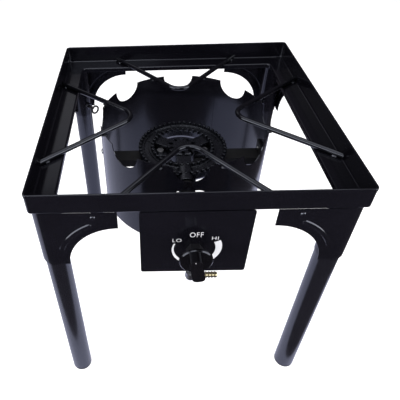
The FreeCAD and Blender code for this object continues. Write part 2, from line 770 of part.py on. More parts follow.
def make_inlet():
    elbow_top = inlet_level + s.elbow_height / 2
    foot_bottom = valve_level - s.valve_diameter / 2 - s.valve_foot_length
    riser = cylinder("riser_outside", s.riser_diameter, foot_bottom - elbow_top, 0, inlet_y, elbow_top)
    riser_bore = cylinder("riser_bore", s.inlet_bore, foot_bottom - elbow_top + s.overrun * 2,
                          0, inlet_y, elbow_top - s.overrun)
    node(cut("inlet_riser", riser, riser_bore))

    corner = ball("elbow_corner", s.elbow_ball, 0, inlet_y, inlet_level)
    upright = cylinder("elbow_upright", s.elbow_diameter, s.elbow_height / 2, 0, inlet_y, inlet_level)
    branch = cylinder("elbow_branch", s.elbow_diameter, s.elbow_reach, 0, inlet_y, inlet_level, X_AXIS)
    drilled = s.elbow_height / 2 + s.inlet_bore / 2
    down_bore = cylinder("elbow_down_bore", s.inlet_bore, drilled + s.overrun,
                         0, inlet_y, elbow_top - drilled)
    side_bore = cylinder("elbow_side_bore", s.tail_bore, s.elbow_reach + s.overrun,
                         0, inlet_y, inlet_level, X_AXIS)
    node(cut("inlet_elbow", fuse("elbow_form", corner, upright, branch), down_bore, side_bore))

    hex_end = s.elbow_reach + s.tail_hex_length
    collar = hexagon("tail_collar", s.tail_hex, s.tail_hex_length,
                     s.elbow_reach, inlet_y, inlet_level, X_AXIS)
    crest = s.tail_diameter / 2
    groove = crest - s.tail_groove
    pitch = s.tail_length / TAIL_RIBS
    profile = [(0, -s.overrun), (crest, -s.overrun)]
    for rib in range(TAIL_RIBS):
        profile.append((crest, pitch * (rib + RIB_CREST_SHARE)))
        profile.append((groove, pitch * (rib + 1)))
        if rib + 1 < TAIL_RIBS:
            profile.append((crest, pitch * (rib + 1)))
    profile.append((0, s.tail_length))
    ribs = turned("tail_ribs", profile, hex_end, inlet_y, inlet_level, X_AXIS)
    tail_bore = cylinder("tail_hole", s.tail_bore, s.tail_length + s.tail_hex_length + s.overrun * 2,
                         s.elbow_reach - s.overrun, inlet_y, inlet_level, X_AXIS)
    node(cut("hose_tail", fuse("tail_form", collar, ribs), tail_bore))


def rib_form(name, x, y, direction, inset=0):
    """A pressed rib about the hollow of a bracket's wing, with sloping sides and round ends.

    Set in by the sheet's thickness, the same form is the groove that the press leaves behind the rib.
    """
    radius = s.bracket_arc + s.rib_offset
    half = s.rib_width / 2 - inset / 2
    foot = -inset
    root = -(s.bracket_sheet / 2 + inset)
    crown = s.rib_rise - inset
    top = half - s.rib_rise
    band = turned(name + "_band", [
        (radius - half, root), (radius + half, root), (radius + half, foot), (radius + top, crown),
        (radius - top, crown), (radius - half, foot),
    ], x, y, bracket_bottom, direction)
    along_x = direction == -Y_AXIS
    first = 180 + number(s.rib_low_angle) if along_x else 270 - number(s.rib_high_angle)
    deep = (s.rib_rise + s.bracket_sheet) * 2
    sector = cylinder(name + "_sector", (radius + s.rib_width) * 2, deep)
    bind(sector, Angle=s.rib_high_angle - s.rib_low_angle)
    place(sector, x + deep / 2 * direction.x, y + deep / 2 * direction.y, bracket_bottom,
          pointing(-direction) * spin(first))
    end = turned(name + "_end", [(0, root), (half, root), (half, foot), (top, crown), (0, crown)])
    ends = []
    for angle in (s.rib_low_angle, s.rib_high_angle):
        out = radius * angle.cosine()
        ends.append((x - out if along_x else x, y if along_x else y - out,
                     bracket_bottom + radius * angle.sine(), pointing(direction)))
    return fuse(name, common(name + "_arc", band, sector), copies(name + "_ends", end, ends))


def make_brackets():
    corner = bracket_half
    wing_end = corner - s.bracket_reach
    bend = socket_outside / 2 + s.seat_gap + s.bracket_sheet
    outside = square_slab("bracket_outside", corner, bend, bracket_bottom, frame_floor)
    inside = square_slab("bracket_inside", corner - s.bracket_sheet, bend - s.bracket_sheet,
                         bracket_bottom - s.overrun, frame_floor + s.overrun)
    limits = block("bracket_limits", (-corner - s.overrun, -wing_end), (-corner - s.overrun, -wing_end),
                   (bracket_bottom, frame_floor))
    folded = common("bracket_fold", cut("bracket_sheet_ring", outside, inside), limits)
    reach = s.bracket_reach + s.overrun * 2
    hollow_front = cylinder("bracket_hollow_front", s.bracket_arc * 2, reach,
                            -wing_end, -corner - s.overrun, bracket_bottom, Y_AXIS)
    hollow_side = cylinder("bracket_hollow_side", s.bracket_arc * 2, reach,
                           -corner - s.overrun, -wing_end, bracket_bottom, X_AXIS)
    sheet_form = cut("bracket_sheet_form", folded, hollow_front, hollow_side)

    front_wing = (-wing_end, -corner, -Y_AXIS)
    side_wing = (-corner, -wing_end, -X_AXIS)
    ribbed = fuse("bracket_ribbed", sheet_form, rib_form("rib_front", *front_wing),
                  rib_form("rib_side", *side_wing))
    form = cut("bracket_form", ribbed, rib_form("groove_front", *front_wing, s.bracket_sheet),
               rib_form("groove_side", *side_wing, s.bracket_sheet))

    rivet_at = -corner + s.bracket_rivet_reach
    rivet_level = frame_floor - s.bracket_rivet_drop
    through = s.bracket_sheet + s.overrun * 2
    holes = fuse("bracket_holes",
                 cylinder("bracket_hole_front", s.rivet_diameter, through,
                          rivet_at, -corner - s.overrun, rivet_level, Y_AXIS),
                 cylinder("bracket_hole_side", s.rivet_diameter, through,
                          -corner - s.overrun, rivet_at, rivet_level, X_AXIS))
    for quarter, name in enumerate(CORNERS):
        place(node(cut("corner_bracket_" + name, form, holes)), turn=spin(quarter * QUARTER_TURN))

    rivet = rivet_form("bracket_rivet_form", s.bracket_sheet)
    pair = copies("bracket_rivet_pair", rivet, [
        (rivet_at, -corner, rivet_level, pointing(Y_AXIS)),
        (-corner, rivet_at, rivet_level, pointing(X_AXIS)),
    ])
    quarters = [(0, 0, 0, spin(quarter * QUARTER_TURN)) for quarter in range(len(CORNERS))]
    node(copies("bracket_rivets", pair, quarters))


def make_legs():
    at = -leg_place
    eye_level = rim - s.eye_drop
    socket_bottom = bracket_bottom - s.socket_tail

    def out_from_leg(distance):
        return at + distance * DIAGONAL_SHARE

    socket_length = lip_bottom - socket_bottom
    socket = cylinder("socket_outside", socket_outside, socket_length, at, at, socket_bottom)
    socket_tools = fuse(
        "socket_tools",
        cylinder("socket_hollow", socket_bore, socket_length + s.overrun * 2,
                 at, at, socket_bottom - s.overrun),
        cylinder("socket_screw_hole", s.eye_screw_diameter + s.free_gap * 2, socket_outside,
                 at, at, eye_level, INWARD))

    nut_end = socket_outside / 2 + s.weld_nut_height
    nut_root = socket_bore / 2
    nut_blank = hexagon("weld_nut_blank", s.weld_nut_hex, nut_end - nut_root,
                        out_from_leg(nut_root), out_from_leg(nut_root), eye_level, INWARD)
    nut = cut("weld_nut_form", nut_blank,
              cylinder("weld_nut_saddle", socket_outside + s.seat_gap * 2, s.weld_nut_hex * 2,
                       at, at, eye_level - s.weld_nut_hex),
              cylinder("weld_nut_bore", s.eye_screw_diameter + s.running_gap * 2, nut_end + s.overrun,
                       at, at, eye_level, INWARD))

    leg_top = lip_bottom - s.free_gap
    tube = cylinder("leg_outside", s.leg_diameter, leg_top - s.cap_floor, at, at, s.cap_floor)
    tube_bore = cylinder("leg_bore", s.leg_diameter - s.leg_wall * 2, leg_top,
                         at, at, s.cap_floor - s.overrun)
    rim_radius = s.leg_diameter / 2
    plug_radius = rim_radius - s.leg_wall - s.seat_gap
    cap_top = s.cap_floor + s.cap_plug
    cap = turned("cap_form", [
        (0, 0), (rim_radius - s.cap_bevel, 0), (rim_radius, s.cap_bevel), (rim_radius, s.cap_floor),
        (plug_radius, s.cap_floor), (plug_radius, cap_top), (0, cap_top),
    ], at, at)
    cap_hollow = cylinder("cap_hollow", plug_radius * 2 - s.cap_wall * 2, s.cap_plug + s.overrun,
                          at, at, s.cap_floor)

    eye_middle = s.eye_ring_diameter - s.eye_wire
    tip = s.leg_diameter / 2 + s.free_gap
    shank = cylinder("eye_shank", s.eye_screw_diameter, s.eye_reach - eye_middle / 2 - tip,
                     out_from_leg(tip), out_from_leg(tip), eye_level, INWARD)
    eye = ring("eye_ring", eye_middle, s.eye_wire, 0, 360,
               out_from_leg(s.eye_reach), out_from_leg(s.eye_reach), eye_level,
               ACROSS * DIAGONAL_SHARE + Z_AXIS)

    quarters = [spin(quarter * QUARTER_TURN) for quarter in range(len(CORNERS))]
    for name, quarter in zip(CORNERS, quarters):
        place(node(cut("leg_socket_" + name, socket, socket_tools)), turn=quarter)
    node(copies("socket_nuts", nut, [(0, 0, 0, quarter) for quarter in quarters]))
    for name, quarter in zip(CORNERS, quarters):
        place(node(cut("leg_" + name, tube, tube_bore)), turn=quarter)
        place(node(cut("foot_cap_" + name, cap, cap_hollow)), turn=quarter)
        place(node(fuse("leg_screw_" + name, shank, eye)), turn=quarter)


make_top_frame()
make_pot_supports()
make_wind_shield()
make_burner_bar()
make_burner()
make_mixing_tube()
make_valve()
make_knob()
make_control_panel()
make_inlet()
make_brackets()
make_legs()

doc.recompute()
for thing in doc.Objects:
    if "Invalid" in thing.State or "Error" in thing.State:
        raise RuntimeError(thing.Name + " did not build: " + ", ".join(thing.State))
for thing in nodes:
    if thing.Shape.isNull() or not thing.Shape.isValid():
        raise RuntimeError(thing.Label + " has no valid shape")
for thing in nodes:
    thing.Shape.exportStep("parts/" + thing.Label + ".step")
    print(thing.Label, len(thing.Shape.Solids), round(thing.Shape.Volume))
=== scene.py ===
"""Single burner gas stove: its finished pieces, finishes and studio, around the solids of the frame."""

import json
import math

import bmesh
import bpy
from bpy.props import FloatProperty, FloatVectorProperty, IntProperty, PointerProperty
from mathutils import Matrix, Vector, noise


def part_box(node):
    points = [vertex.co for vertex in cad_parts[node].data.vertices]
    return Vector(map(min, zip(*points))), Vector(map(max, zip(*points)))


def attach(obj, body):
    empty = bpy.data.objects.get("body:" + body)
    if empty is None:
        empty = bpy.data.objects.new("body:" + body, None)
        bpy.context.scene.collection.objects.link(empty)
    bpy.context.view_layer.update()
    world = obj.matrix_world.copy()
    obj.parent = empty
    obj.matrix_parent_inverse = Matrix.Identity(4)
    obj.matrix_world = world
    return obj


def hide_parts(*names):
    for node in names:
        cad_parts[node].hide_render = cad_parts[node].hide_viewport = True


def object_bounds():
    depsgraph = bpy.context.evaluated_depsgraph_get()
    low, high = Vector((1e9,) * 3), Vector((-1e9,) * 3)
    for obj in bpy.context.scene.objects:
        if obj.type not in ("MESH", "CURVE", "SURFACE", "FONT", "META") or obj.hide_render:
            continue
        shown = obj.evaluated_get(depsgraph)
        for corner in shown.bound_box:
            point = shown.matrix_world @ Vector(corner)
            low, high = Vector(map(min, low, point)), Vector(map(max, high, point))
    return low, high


bl_info = {
    "name": "Single Burner Gas Stove",
    "version": (1, 0, 0),
    "blender": (4, 5, 0),
    "location": "3D View > Sidebar > Stove",
    "description": "Builds the finished pieces, finishes and studio of a single burner gas stove",
    "category": "Object",
}

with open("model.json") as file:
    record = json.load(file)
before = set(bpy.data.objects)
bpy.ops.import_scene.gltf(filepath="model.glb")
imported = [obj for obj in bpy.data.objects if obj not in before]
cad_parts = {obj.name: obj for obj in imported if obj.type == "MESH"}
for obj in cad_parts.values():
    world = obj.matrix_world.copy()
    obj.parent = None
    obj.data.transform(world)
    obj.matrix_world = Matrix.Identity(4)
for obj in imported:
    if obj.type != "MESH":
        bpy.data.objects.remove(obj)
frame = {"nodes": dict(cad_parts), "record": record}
CAD_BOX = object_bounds()
NODE_BODY = {node: body for body, nodes in frame["record"]["behaviour"]["bodies"].items() for node in nodes}
NODE_SLOT = {entry["node"]: entry["material_slot"] for entry in frame["record"]["subparts"]}

CORNERS = ("front_left", "front_right", "rear_right", "rear_left")
SIDES = ("front", "right", "rear", "left")
SIDE_ANGLES = {"front": -90, "right": 0, "rear": 90, "left": 180}
WEB_ANGLES = (-90, 30, 150)
SOFTBOXES = ("top", "left", "right", "front", "back")
UP = Vector((0, 0, 1))
WHITE = (1, 1, 1)


def low(node):
    return Vector(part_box(node)[0])


def high(node):
    return Vector(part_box(node)[1])


def middle(node):
    return (low(node) + high(node)) / 2


def length(name, description, default):
    return FloatProperty(name=name, description=description, default=default, unit="LENGTH", precision=5)


def angle(name, description, degrees):
    return FloatProperty(name=name, description=description, default=math.radians(degrees), unit="ROTATION")


def colour(name, description, default):
    return FloatVectorProperty(name=name, description=description, default=default, subtype="COLOR",
                               size=3, min=0, max=1)


def amount(name, description, default, unit="NONE"):
    return FloatProperty(name=name, description=description, default=default, unit=unit)


def power(name, description, watts):
    return amount(name, description, watts, "POWER")


def number(name, description, default):
    return IntProperty(name=name, description=description, default=default, min=3)


def lengths(name, description, default):
    return FloatVectorProperty(name=name, description=description, default=default, size=len(default),
                               unit="LENGTH")


def factor(name, description, default):
    return FloatProperty(name=name, description=description, default=default, subtype="FACTOR", min=0, max=1)


class StoveSheetSizes(bpy.types.PropertyGroup):
    """Edges, seams and welds of the bent sheet and rods."""
    frame_sheet: length("Frame Sheet", "Thickness of the top frame's strip", 0.0015)
    frame_corner: length("Frame Corner", "Radius of the top frame's upright corners", 0.0055)
    frame_bend: length("Frame Bend", "Outside radius of the bend between wall and flange", 0.0026)
    flange_width: length("Flange Width", "From the top frame's outside to its opening", 0.030)
    flange_corner: length("Flange Corner", "Radius of the corners of the opening", 0.006)
    lip_drop: length("Lip Drop", "From the flange's underside to the foot of its lip", 0.006)
    hem_height: length("Hem Height", "Height of the rolled hem", 0.0046)
    hem_outside: length("Hem Outside", "How far the hem stands out of the wall", 0.0005)
    hem_inside: length("Hem Inside", "How far the hem stands in from the wall", 0.0007)
    hem_round: length("Hem Round", "Radius on the hem's upper edges", 0.0012)
    edge_round: length("Edge Round", "Radius on the top frame's small edges", 0.0003)
    sheet_round: length("Sheet Round", "Radius on the edges of thin sheet", 0.0003)
    rod_round: length("Rod Round", "Radius on the cut ends of the rods", 0.0006)
    rod_apex: length("Rod Apex", "From the middle of the stove to the bend of a rod", 0.081)
    rod_bend: length("Rod Bend", "Radius of a rod's bend", 0.022)
    rod_half_angle: angle("Rod Half Angle", "Half of the angle between a rod's arms", 39.5)
    weld_length: length("Weld Length", "Length of one weld bead along its rod", 0.0085)
    weld_width: length("Weld Width", "Width of one weld bead", 0.0052)
    weld_height: length("Weld Height", "Height of one weld bead", 0.0034)
    seam_angle: angle("Seam Angle", "Where the wind shield's lap seam stands", 62)
    seam_width: length("Seam Width", "Width of the wind shield's lap seam", 0.011)
    seam_sheet: length("Seam Sheet", "Thickness of the wind shield's lap", 0.0009)
    seam_inset: length("Seam Inset", "From the shield's ends to the ends of its lap", 0.003)
    joint_offset: length("Joint Offset", "From the middle to the butt weld in the front wall", -0.0055)
    joint_width: length("Joint Width", "Width of the butt weld in the front wall", 0.0011)
    joint_proud: length("Joint Proud", "How far the dressed butt weld stands out", 0.00018)


class StoveBurnerSizes(bpy.types.PropertyGroup):
    """The burner casting, from its own box."""
    outer_jets: number("Outer Jets", "Raised jets in the outer row", 48)
    inner_jets: number("Inner Jets", "Raised jets in the inner row", 34)
    hub_ports: number("Hub Ports", "Keyhole ports round the hub", 10)
    ring_height: length("Ring Height", "From the ring's foot to the top of its jets", 0.020)
    ring_width: length("Ring Width", "From the ring's inner wall to its outer wall", 0.023)
    channel_width: length("Channel Width", "Width of the channel in the ring's top", 0.008)
    channel_depth: length("Channel Depth", "From the jets' tops to the channel's floor", 0.0065)
    cast_round: length("Cast Round", "Radius on the casting's edges", 0.0014)
    draft: length("Draft", "How much narrower the ring is at its foot, on each side", 0.003)
    jet_diameter: length("Jet Diameter", "Diameter of a raised jet", 0.0056)
    jet_height: length("Jet Height", "How far a jet stands out of the ring", 0.0045)
    jet_bore: length("Jet Bore", "Diameter of the hole in a jet", 0.0021)
    hub_diameter: length("Hub Diameter", "Diameter of the small centre ring", 0.047)
    hub_height: length("Hub Height", "Height of the small centre ring", 0.018)
    hub_port_width: length("Hub Port Width", "Width of a keyhole port's slot", 0.0042)
    hub_port_round: length("Hub Port Round", "Diameter of a keyhole port's round end", 0.0062)
    hub_port_reach: length("Hub Port Reach", "From the hub's edge to the round end's centre", 0.0056)
    hub_port_depth: length("Hub Port Depth", "Depth of a keyhole port", 0.007)
    web_width: length("Web Width", "Width of a web between the hub and the ring", 0.022)
    web_height: length("Web Height", "Height of a web", 0.015)
    lug_width: length("Lug Width", "Width of the lugs that take the bolts", 0.020)
    lug_height: length("Lug Height", "Height of the lugs that take the bolts", 0.006)
    boss_diameter: length("Boss Diameter", "Diameter of the boss that takes the mixing tube", 0.030)


class StoveDialSizes(bpy.types.PropertyGroup):
    """The print on the control panel, from the rim and the middle of the stove."""
    ink: length("Ink", "Thickness of the print", 0.00006)
    stroke: length("Stroke", "How much the letters are thickened", -0.00003)
    spacing: amount("Spacing", "How far the letters stand apart", 1.1)
    low_box: lengths("Low Mark", "Left, right, top and bottom of the low mark",
                     (-0.0280, -0.0170, -0.0770, -0.0830))
    off_box: lengths("Off Mark", "Left, right, top and bottom of the off mark",
                     (-0.0070, 0.0095, -0.0660, -0.0746))
    high_box: lengths("High Mark", "Left, right, top and bottom of the high mark",
                      (0.0205, 0.0285, -0.0740, -0.0800))
    scale_inside: length("Scale Inside", "Inner radius of the crescent", 0.0262)
    scale_thin: length("Scale Thin", "Width of the crescent at its low end", 0.0018)
    scale_thick: length("Scale Thick", "Width of the crescent at its high end", 0.0088)
    scale_start: angle("Scale Start", "Where the crescent starts, from the right", 159)
    scale_end: angle("Scale End", "Where the crescent ends, from the right", 386)


class StoveFittingSizes(bpy.types.PropertyGroup):
    """The knob, the gas fittings, the feet and the small fasteners."""
    knob_round: length("Knob Round", "Radius on the knob's edges", 0.0014)
    knob_lean: angle("Knob Lean", "How far the grip leans from upright at rest", 10)
    mark_diameter: length("Mark Diameter", "Diameter of the mark on the knob's grip", 0.0012)
    mark_inset: length("Mark Inset", "From the grip's upper end to the middle of its mark", 0.0042)
    mark_proud: length("Mark Proud", "How far the mark stands out of the grip", 0.0001)
    fitting_round: length("Fitting Round", "Radius on the gas fittings' edges", 0.0004)
    fastener_round: length("Fastener Round", "Radius on the edges of bolts, nuts and screws", 0.0004)
    cap_round: length("Cap Round", "Radius on the foot caps' edges", 0.0006)


class StoveFinishes(bpy.types.PropertyGroup):
    """The colours and gloss of the stove's finishes."""
    coat: colour("Powder Coat", "The black coat on the frame, panel, brackets and shield",
                 (0.0034, 0.0032, 0.0050))
    coat_gloss: factor("Coat Roughness", "Roughness of the black coat", 0.15)
    sheen: colour("Sheen", "The cool tint of the black coats' shine", (0.80, 0.85, 1.0))
    leg: colour("Leg Coat", "The satin coat on the legs", (0.0055, 0.0052, 0.0075))
    leg_gloss: factor("Leg Roughness", "Roughness of the legs' coat", 0.20)
    rod: colour("Rod Coat", "The coat on the pot supports", (0.0030, 0.0030, 0.0042))
    rod_gloss: factor("Rod Roughness", "Roughness of the rods' coat", 0.11)
    heat: colour("Heat Paint", "The matt paint on the bar and mixing tube", (0.0055, 0.0055, 0.0070))
    iron: colour("Cast Iron", "The burner's black iron", (0.0022, 0.0024, 0.0036))
    zinc: colour("Zinc", "Plated screws, bolts and fittings", (0.34, 0.345, 0.36))
    black_zinc: colour("Black Zinc", "The eye screws' black plating", (0.012, 0.012, 0.015))
    brass: colour("Brass", "The valve and the hose tail", (0.36, 0.32, 0.21))
    knob: colour("Knob Plastic", "The knob's moulded plastic", (0.0030, 0.0027, 0.0034))
    cap: colour("Cap Plastic", "The foot caps' moulded plastic", (0.0050, 0.0050, 0.0060))
    print_white: colour("Print", "The panel's white print", (0.66, 0.66, 0.69))
    floor: colour("Floor", "The studio floor", (0.93, 0.93, 0.93))
    card: colour("Card", "The card under the floor, unlit", (0.02, 0.02, 0.02))
    card_shine: colour("Card Shine", "The cool tint of the card's light", (0.74, 0.76, 1.0))


class StoveStage(bpy.types.PropertyGroup):
    """The studio's camera and light."""
    camera_place: lengths("Camera Place", "Where the camera stands",
                          (-0.05925, -0.54209, 0.74661))
    yaw: angle("Yaw", "The camera's turn to the right", -1.264)
    pitch: angle("Pitch", "How far down the camera looks", 40.568)
    roll: angle("Roll", "The camera's tilt", -2.007)
    lens: amount("Lens", "Focal length", 37.8, "CAMERA")
    sensor: amount("Sensor", "Width of the sensor", 36.0, "CAMERA")
    shift_x: amount("Shift Right", "The frame's shift to the right", 0.1527)
    shift_y: amount("Shift Up", "The frame's shift upwards", -0.0587)
    floor_side: length("Floor Side", "Side of the studio floor", 12.0)
    floor_glow: amount("Floor Glow", "Light that the floor gives of its own", 0.70)
    backdrop: colour("Backdrop", "The plain backdrop behind the floor", (1.0, 1.0, 1.0))
    room_tint: colour("Room Tint", "The cool tint of the room's light", (0.88, 0.80, 1.0))
    room_light: amount("Room Light", "Strength of the room's light from above", 0.07)
    room_shade: amount("Room Shade", "Strength of the room's light from below", 0.065)
    top_place: lengths("Top Place", "Where the softbox above hangs", (0, 0, 2.0))
    top_size: lengths("Top Size", "Width and height of the softbox above", (2.0, 2.0))
    top_power: power("Top Power", "Power of the softbox above", 18)
    left_place: lengths("Left Place", "Where the softbox on the left hangs", (-1.7, -1.1, 0.75))
    left_size: lengths("Left Size", "Width and height of the softbox on the left", (1.6, 1.5))
    left_power: power("Left Power", "Power of the softbox on the left", 38)
    right_place: lengths("Right Place", "Where the softbox on the right hangs", (1.7, -1.1, 0.75))
    right_size: lengths("Right Size", "Width and height of the softbox on the right", (1.6, 1.5))
    right_power: power("Right Power", "Power of the softbox on the right", 38)
    front_place: lengths("Front Place", "Where the softbox in front hangs", (-0.5, -1.9, 1.85))
    front_size: lengths("Front Size", "Width and height of the softbox in front", (1.2, 0.7))
    front_power: power("Front Power", "Power of the softbox in front", 12)
    back_place: lengths("Back Place", "Where the softbox behind hangs", (-0.9, 2.2, 2.05))
    back_size: lengths("Back Size", "Width and height of the softbox behind", (1.6, 0.8))
    back_power: power("Back Power", "Power of the softbox behind", 1.7)
    card_glow: amount("Card Glow", "Brightness of the card under the stove", 0.90)
    card_left: length("Card Left", "From the middle to the left edge of the card", 0.9)
    card_right: length("Card Right", "From the middle to the right edge of the card", 0.42)
    card_front: length("Card Front", "From the middle to the front left corner of the card", 0.344)
    card_skew: length("Card Skew", "How much further back the front right corner of the card lies", 0.155)
    card_back: length("Card Back", "From the middle to the back of the card", 0.5)
    card_drop: length("Card Drop", "How far the card lies below the floor's face", 0.001)


FLAT = math.radians(0.6)
CREASE = math.radians(28)
WELD_GAP = 0.000002
QUARTER = math.radians(90)
CORNER_STEPS = 10
SEAM_STEPS = 8
PORT_STEPS = 12
CRESCENT_STEPS = 72
RING_FACETS = 144
HUB_FACETS = 72
BOSS_FACETS = 48
JET_FACETS = 14
JET_STEPS = 3
MARK_FACETS = 24
KNOB_SEGMENTS = 4
JET_ROUND = 0.4
JET_EDGE = 0.6
BEAD_LUMPS = 0.22
BEAD_GRAIN = 3.1
BEAD_ASIDE = 0.85
BEAD_BELOW = 0.75
SIDE_SEEDS, END_SEED, HAND_SEED = 10, 5, 0.3
SHOULDER_PARTS = 3
# Ambient occlusion values between which the painted shade in the hollows goes from full to none.
HOLLOW_SHADE_SHUT, HOLLOW_SHADE_OPEN = 0.45, 0.95
HORIZON_BLUR = 0.1


def add_piece(name, bm):
    """A new piece that holds a finished bmesh."""
    mesh = bpy.data.meshes.new(name)
    bm.to_mesh(mesh)
    bm.free()
    piece = bpy.data.objects.new(name, mesh)
    bpy.context.scene.collection.objects.link(piece)
    return piece


def shade(piece):
    """Smooth shading that keeps the creases and lets the flat faces stay flat."""
    mesh = piece.data
    mesh.polygons.foreach_set("use_smooth", [True] * len(mesh.polygons))
    mesh.set_sharp_from_angle(angle=CREASE)
    even = piece.modifiers.new("even_shading", "WEIGHTED_NORMAL")
    even.keep_sharp = True
    return piece


def fit(piece, node, finish, stands_for=True):
    """Gives a piece its finish and sets it on the body of a node, in whose place it may stand."""
    piece.data.materials.clear()
    piece.data.materials.append(finish)
    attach(piece, NODE_BODY[node])
    if stands_for:
        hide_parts(node)


def softened(node, radius, segments=2):
    """A copy of a node whose sharp edges are rounded."""
    bm = bmesh.new()
    bm.from_mesh(frame["nodes"][node].data)
    for layer in list(bm.loops.layers.uv.values()):
        bm.loops.layers.uv.remove(layer)
    bmesh.ops.remove_doubles(bm, verts=bm.verts, dist=WELD_GAP)
    bmesh.ops.dissolve_limit(bm, angle_limit=FLAT, verts=bm.verts, edges=bm.edges)
    bmesh.ops.recalc_face_normals(bm, faces=bm.faces)
    sharp = [edge for edge in bm.edges if edge.is_manifold and edge.calc_face_angle(0) > CREASE]
    bmesh.ops.bevel(bm, geom=sharp, offset=radius, offset_type="OFFSET", segments=segments, profile=0.5,
                    affect="EDGES", clamp_overlap=True)
    piece = add_piece(node + "_finished", bm)
    for kept in ("custom_normal", "sharp_edge", "sharp_face"):
        if kept in piece.data.attributes:
            piece.data.attributes.remove(piece.data.attributes[kept])
    return shade(piece)


def finish_nodes(nodes, radius, coat=None):
    """Rounds the edges of nodes and gives them a coat, or their slots' own finishes."""
    for node in nodes:
        fit(softened(node, radius), node, coat or own_finish(node))


def rounded_profile(points, steps=4):
    """A closed line of (radius, height) points whose corners, given as (radius, height, round), are arcs."""
    line = []
    for index, (across, up, corner) in enumerate(points):
        here = Vector((across, up))
        if corner == 0:
            line.append(here)
            continue
        before = (Vector(points[index - 1][:2]) - here).normalized()
        after = (Vector(points[(index + 1) % len(points)][:2]) - here).normalized()
        half = before.angle(after) / 2
        reach = corner / math.tan(half)
        centre = here + (before + after).normalized() * corner / math.sin(half)
        start = here + before * reach - centre
        sweep = start.angle_signed(here + after * reach - centre)
        line.extend(centre + Matrix.Rotation(-sweep * step / steps, 2) @ start for step in range(steps + 1))
    return line


def turned(line, segments):
    """A solid turned about the upright axis from a closed line of (radius, height) points."""
    bm = bmesh.new()
    verts = [bm.verts.new((across, 0, up)) for across, up in line]
    edges = [bm.edges.new(pair) for pair in zip(verts, verts[1:] + verts[:1])]
    bmesh.ops.spin(bm, geom=verts + edges, cent=(0, 0, 0), axis=UP, angle=math.tau, steps=segments,
                   use_merge=True)
    bmesh.ops.remove_doubles(bm, verts=bm.verts, dist=WELD_GAP)
    bmesh.ops.recalc_face_normals(bm, faces=bm.faces)
    return bm


def bridge(bm, rows, closed):
    """Joins each row of points, taken as a ring, with the next row. If closed, the last meets the first."""
    for row, after in zip(rows, rows[1:] + rows[:1] if closed else rows[1:]):
        for here in range(len(row)):
            following = (here + 1) % len(row)
            bm.faces.new((row[here], row[following], after[following], after[here]))


def raise_faces(bm, faces, way):
    """Turns flat faces into solids that are as thick as the way."""
    raised = bmesh.ops.extrude_face_region(bm, geom=faces)["geom"]
    bmesh.ops.translate(bm, vec=way, verts=[item for item in raised if isinstance(item, bmesh.types.BMVert)])


def rounded_block(bm, near, far, radius, matrix=None):
    """Adds a block between two corners, with rounded edges."""
    near, far = Vector(near), Vector(far)
    made = bmesh.ops.create_cube(bm, size=1)["verts"]
    place = Matrix.Translation((near + far) / 2) @ Matrix.Diagonal((*(far - near), 1))
    bmesh.ops.transform(bm, matrix=(matrix or Matrix()) @ place, verts=made)
    if radius:
        edges = list({edge for vert in made for edge in vert.link_edges})
        bmesh.ops.bevel(bm, geom=edges, offset=radius, segments=3, profile=0.5, affect="EDGES")


def spend(piece):
    """Takes away a piece that was only a means to another one."""
    mesh = piece.data
    bpy.data.objects.remove(piece)
    bpy.data.meshes.remove(mesh)


def carve(piece, cutter):
    """Cuts one piece out of another. The cutter is used up."""
    tool = piece.modifiers.new("carve", "BOOLEAN")
    tool.operation = "DIFFERENCE"
    tool.object = cutter
    tool.solver = "EXACT"
    shape = bpy.data.meshes.new_from_object(piece.evaluated_get(bpy.context.evaluated_depsgraph_get()))
    piece.modifiers.clear()
    solid, piece.data = piece.data, shape
    bpy.data.meshes.remove(solid)
    spend(cutter)
    return piece


def merge(piece, other):
    """Adds the faces of another piece, which is used up."""
    bm = bmesh.new()
    bm.from_mesh(piece.data)
    bm.from_mesh(other.data)
    bm.to_mesh(piece.data)
    bm.free()
    spend(other)


def add_node(tree, kind, values):
    """A new shader node with its inputs set."""
    node = tree.nodes.new("ShaderNode" + kind)
    for socket, value in values.items():
        node.inputs[socket].default_value = value
    return node


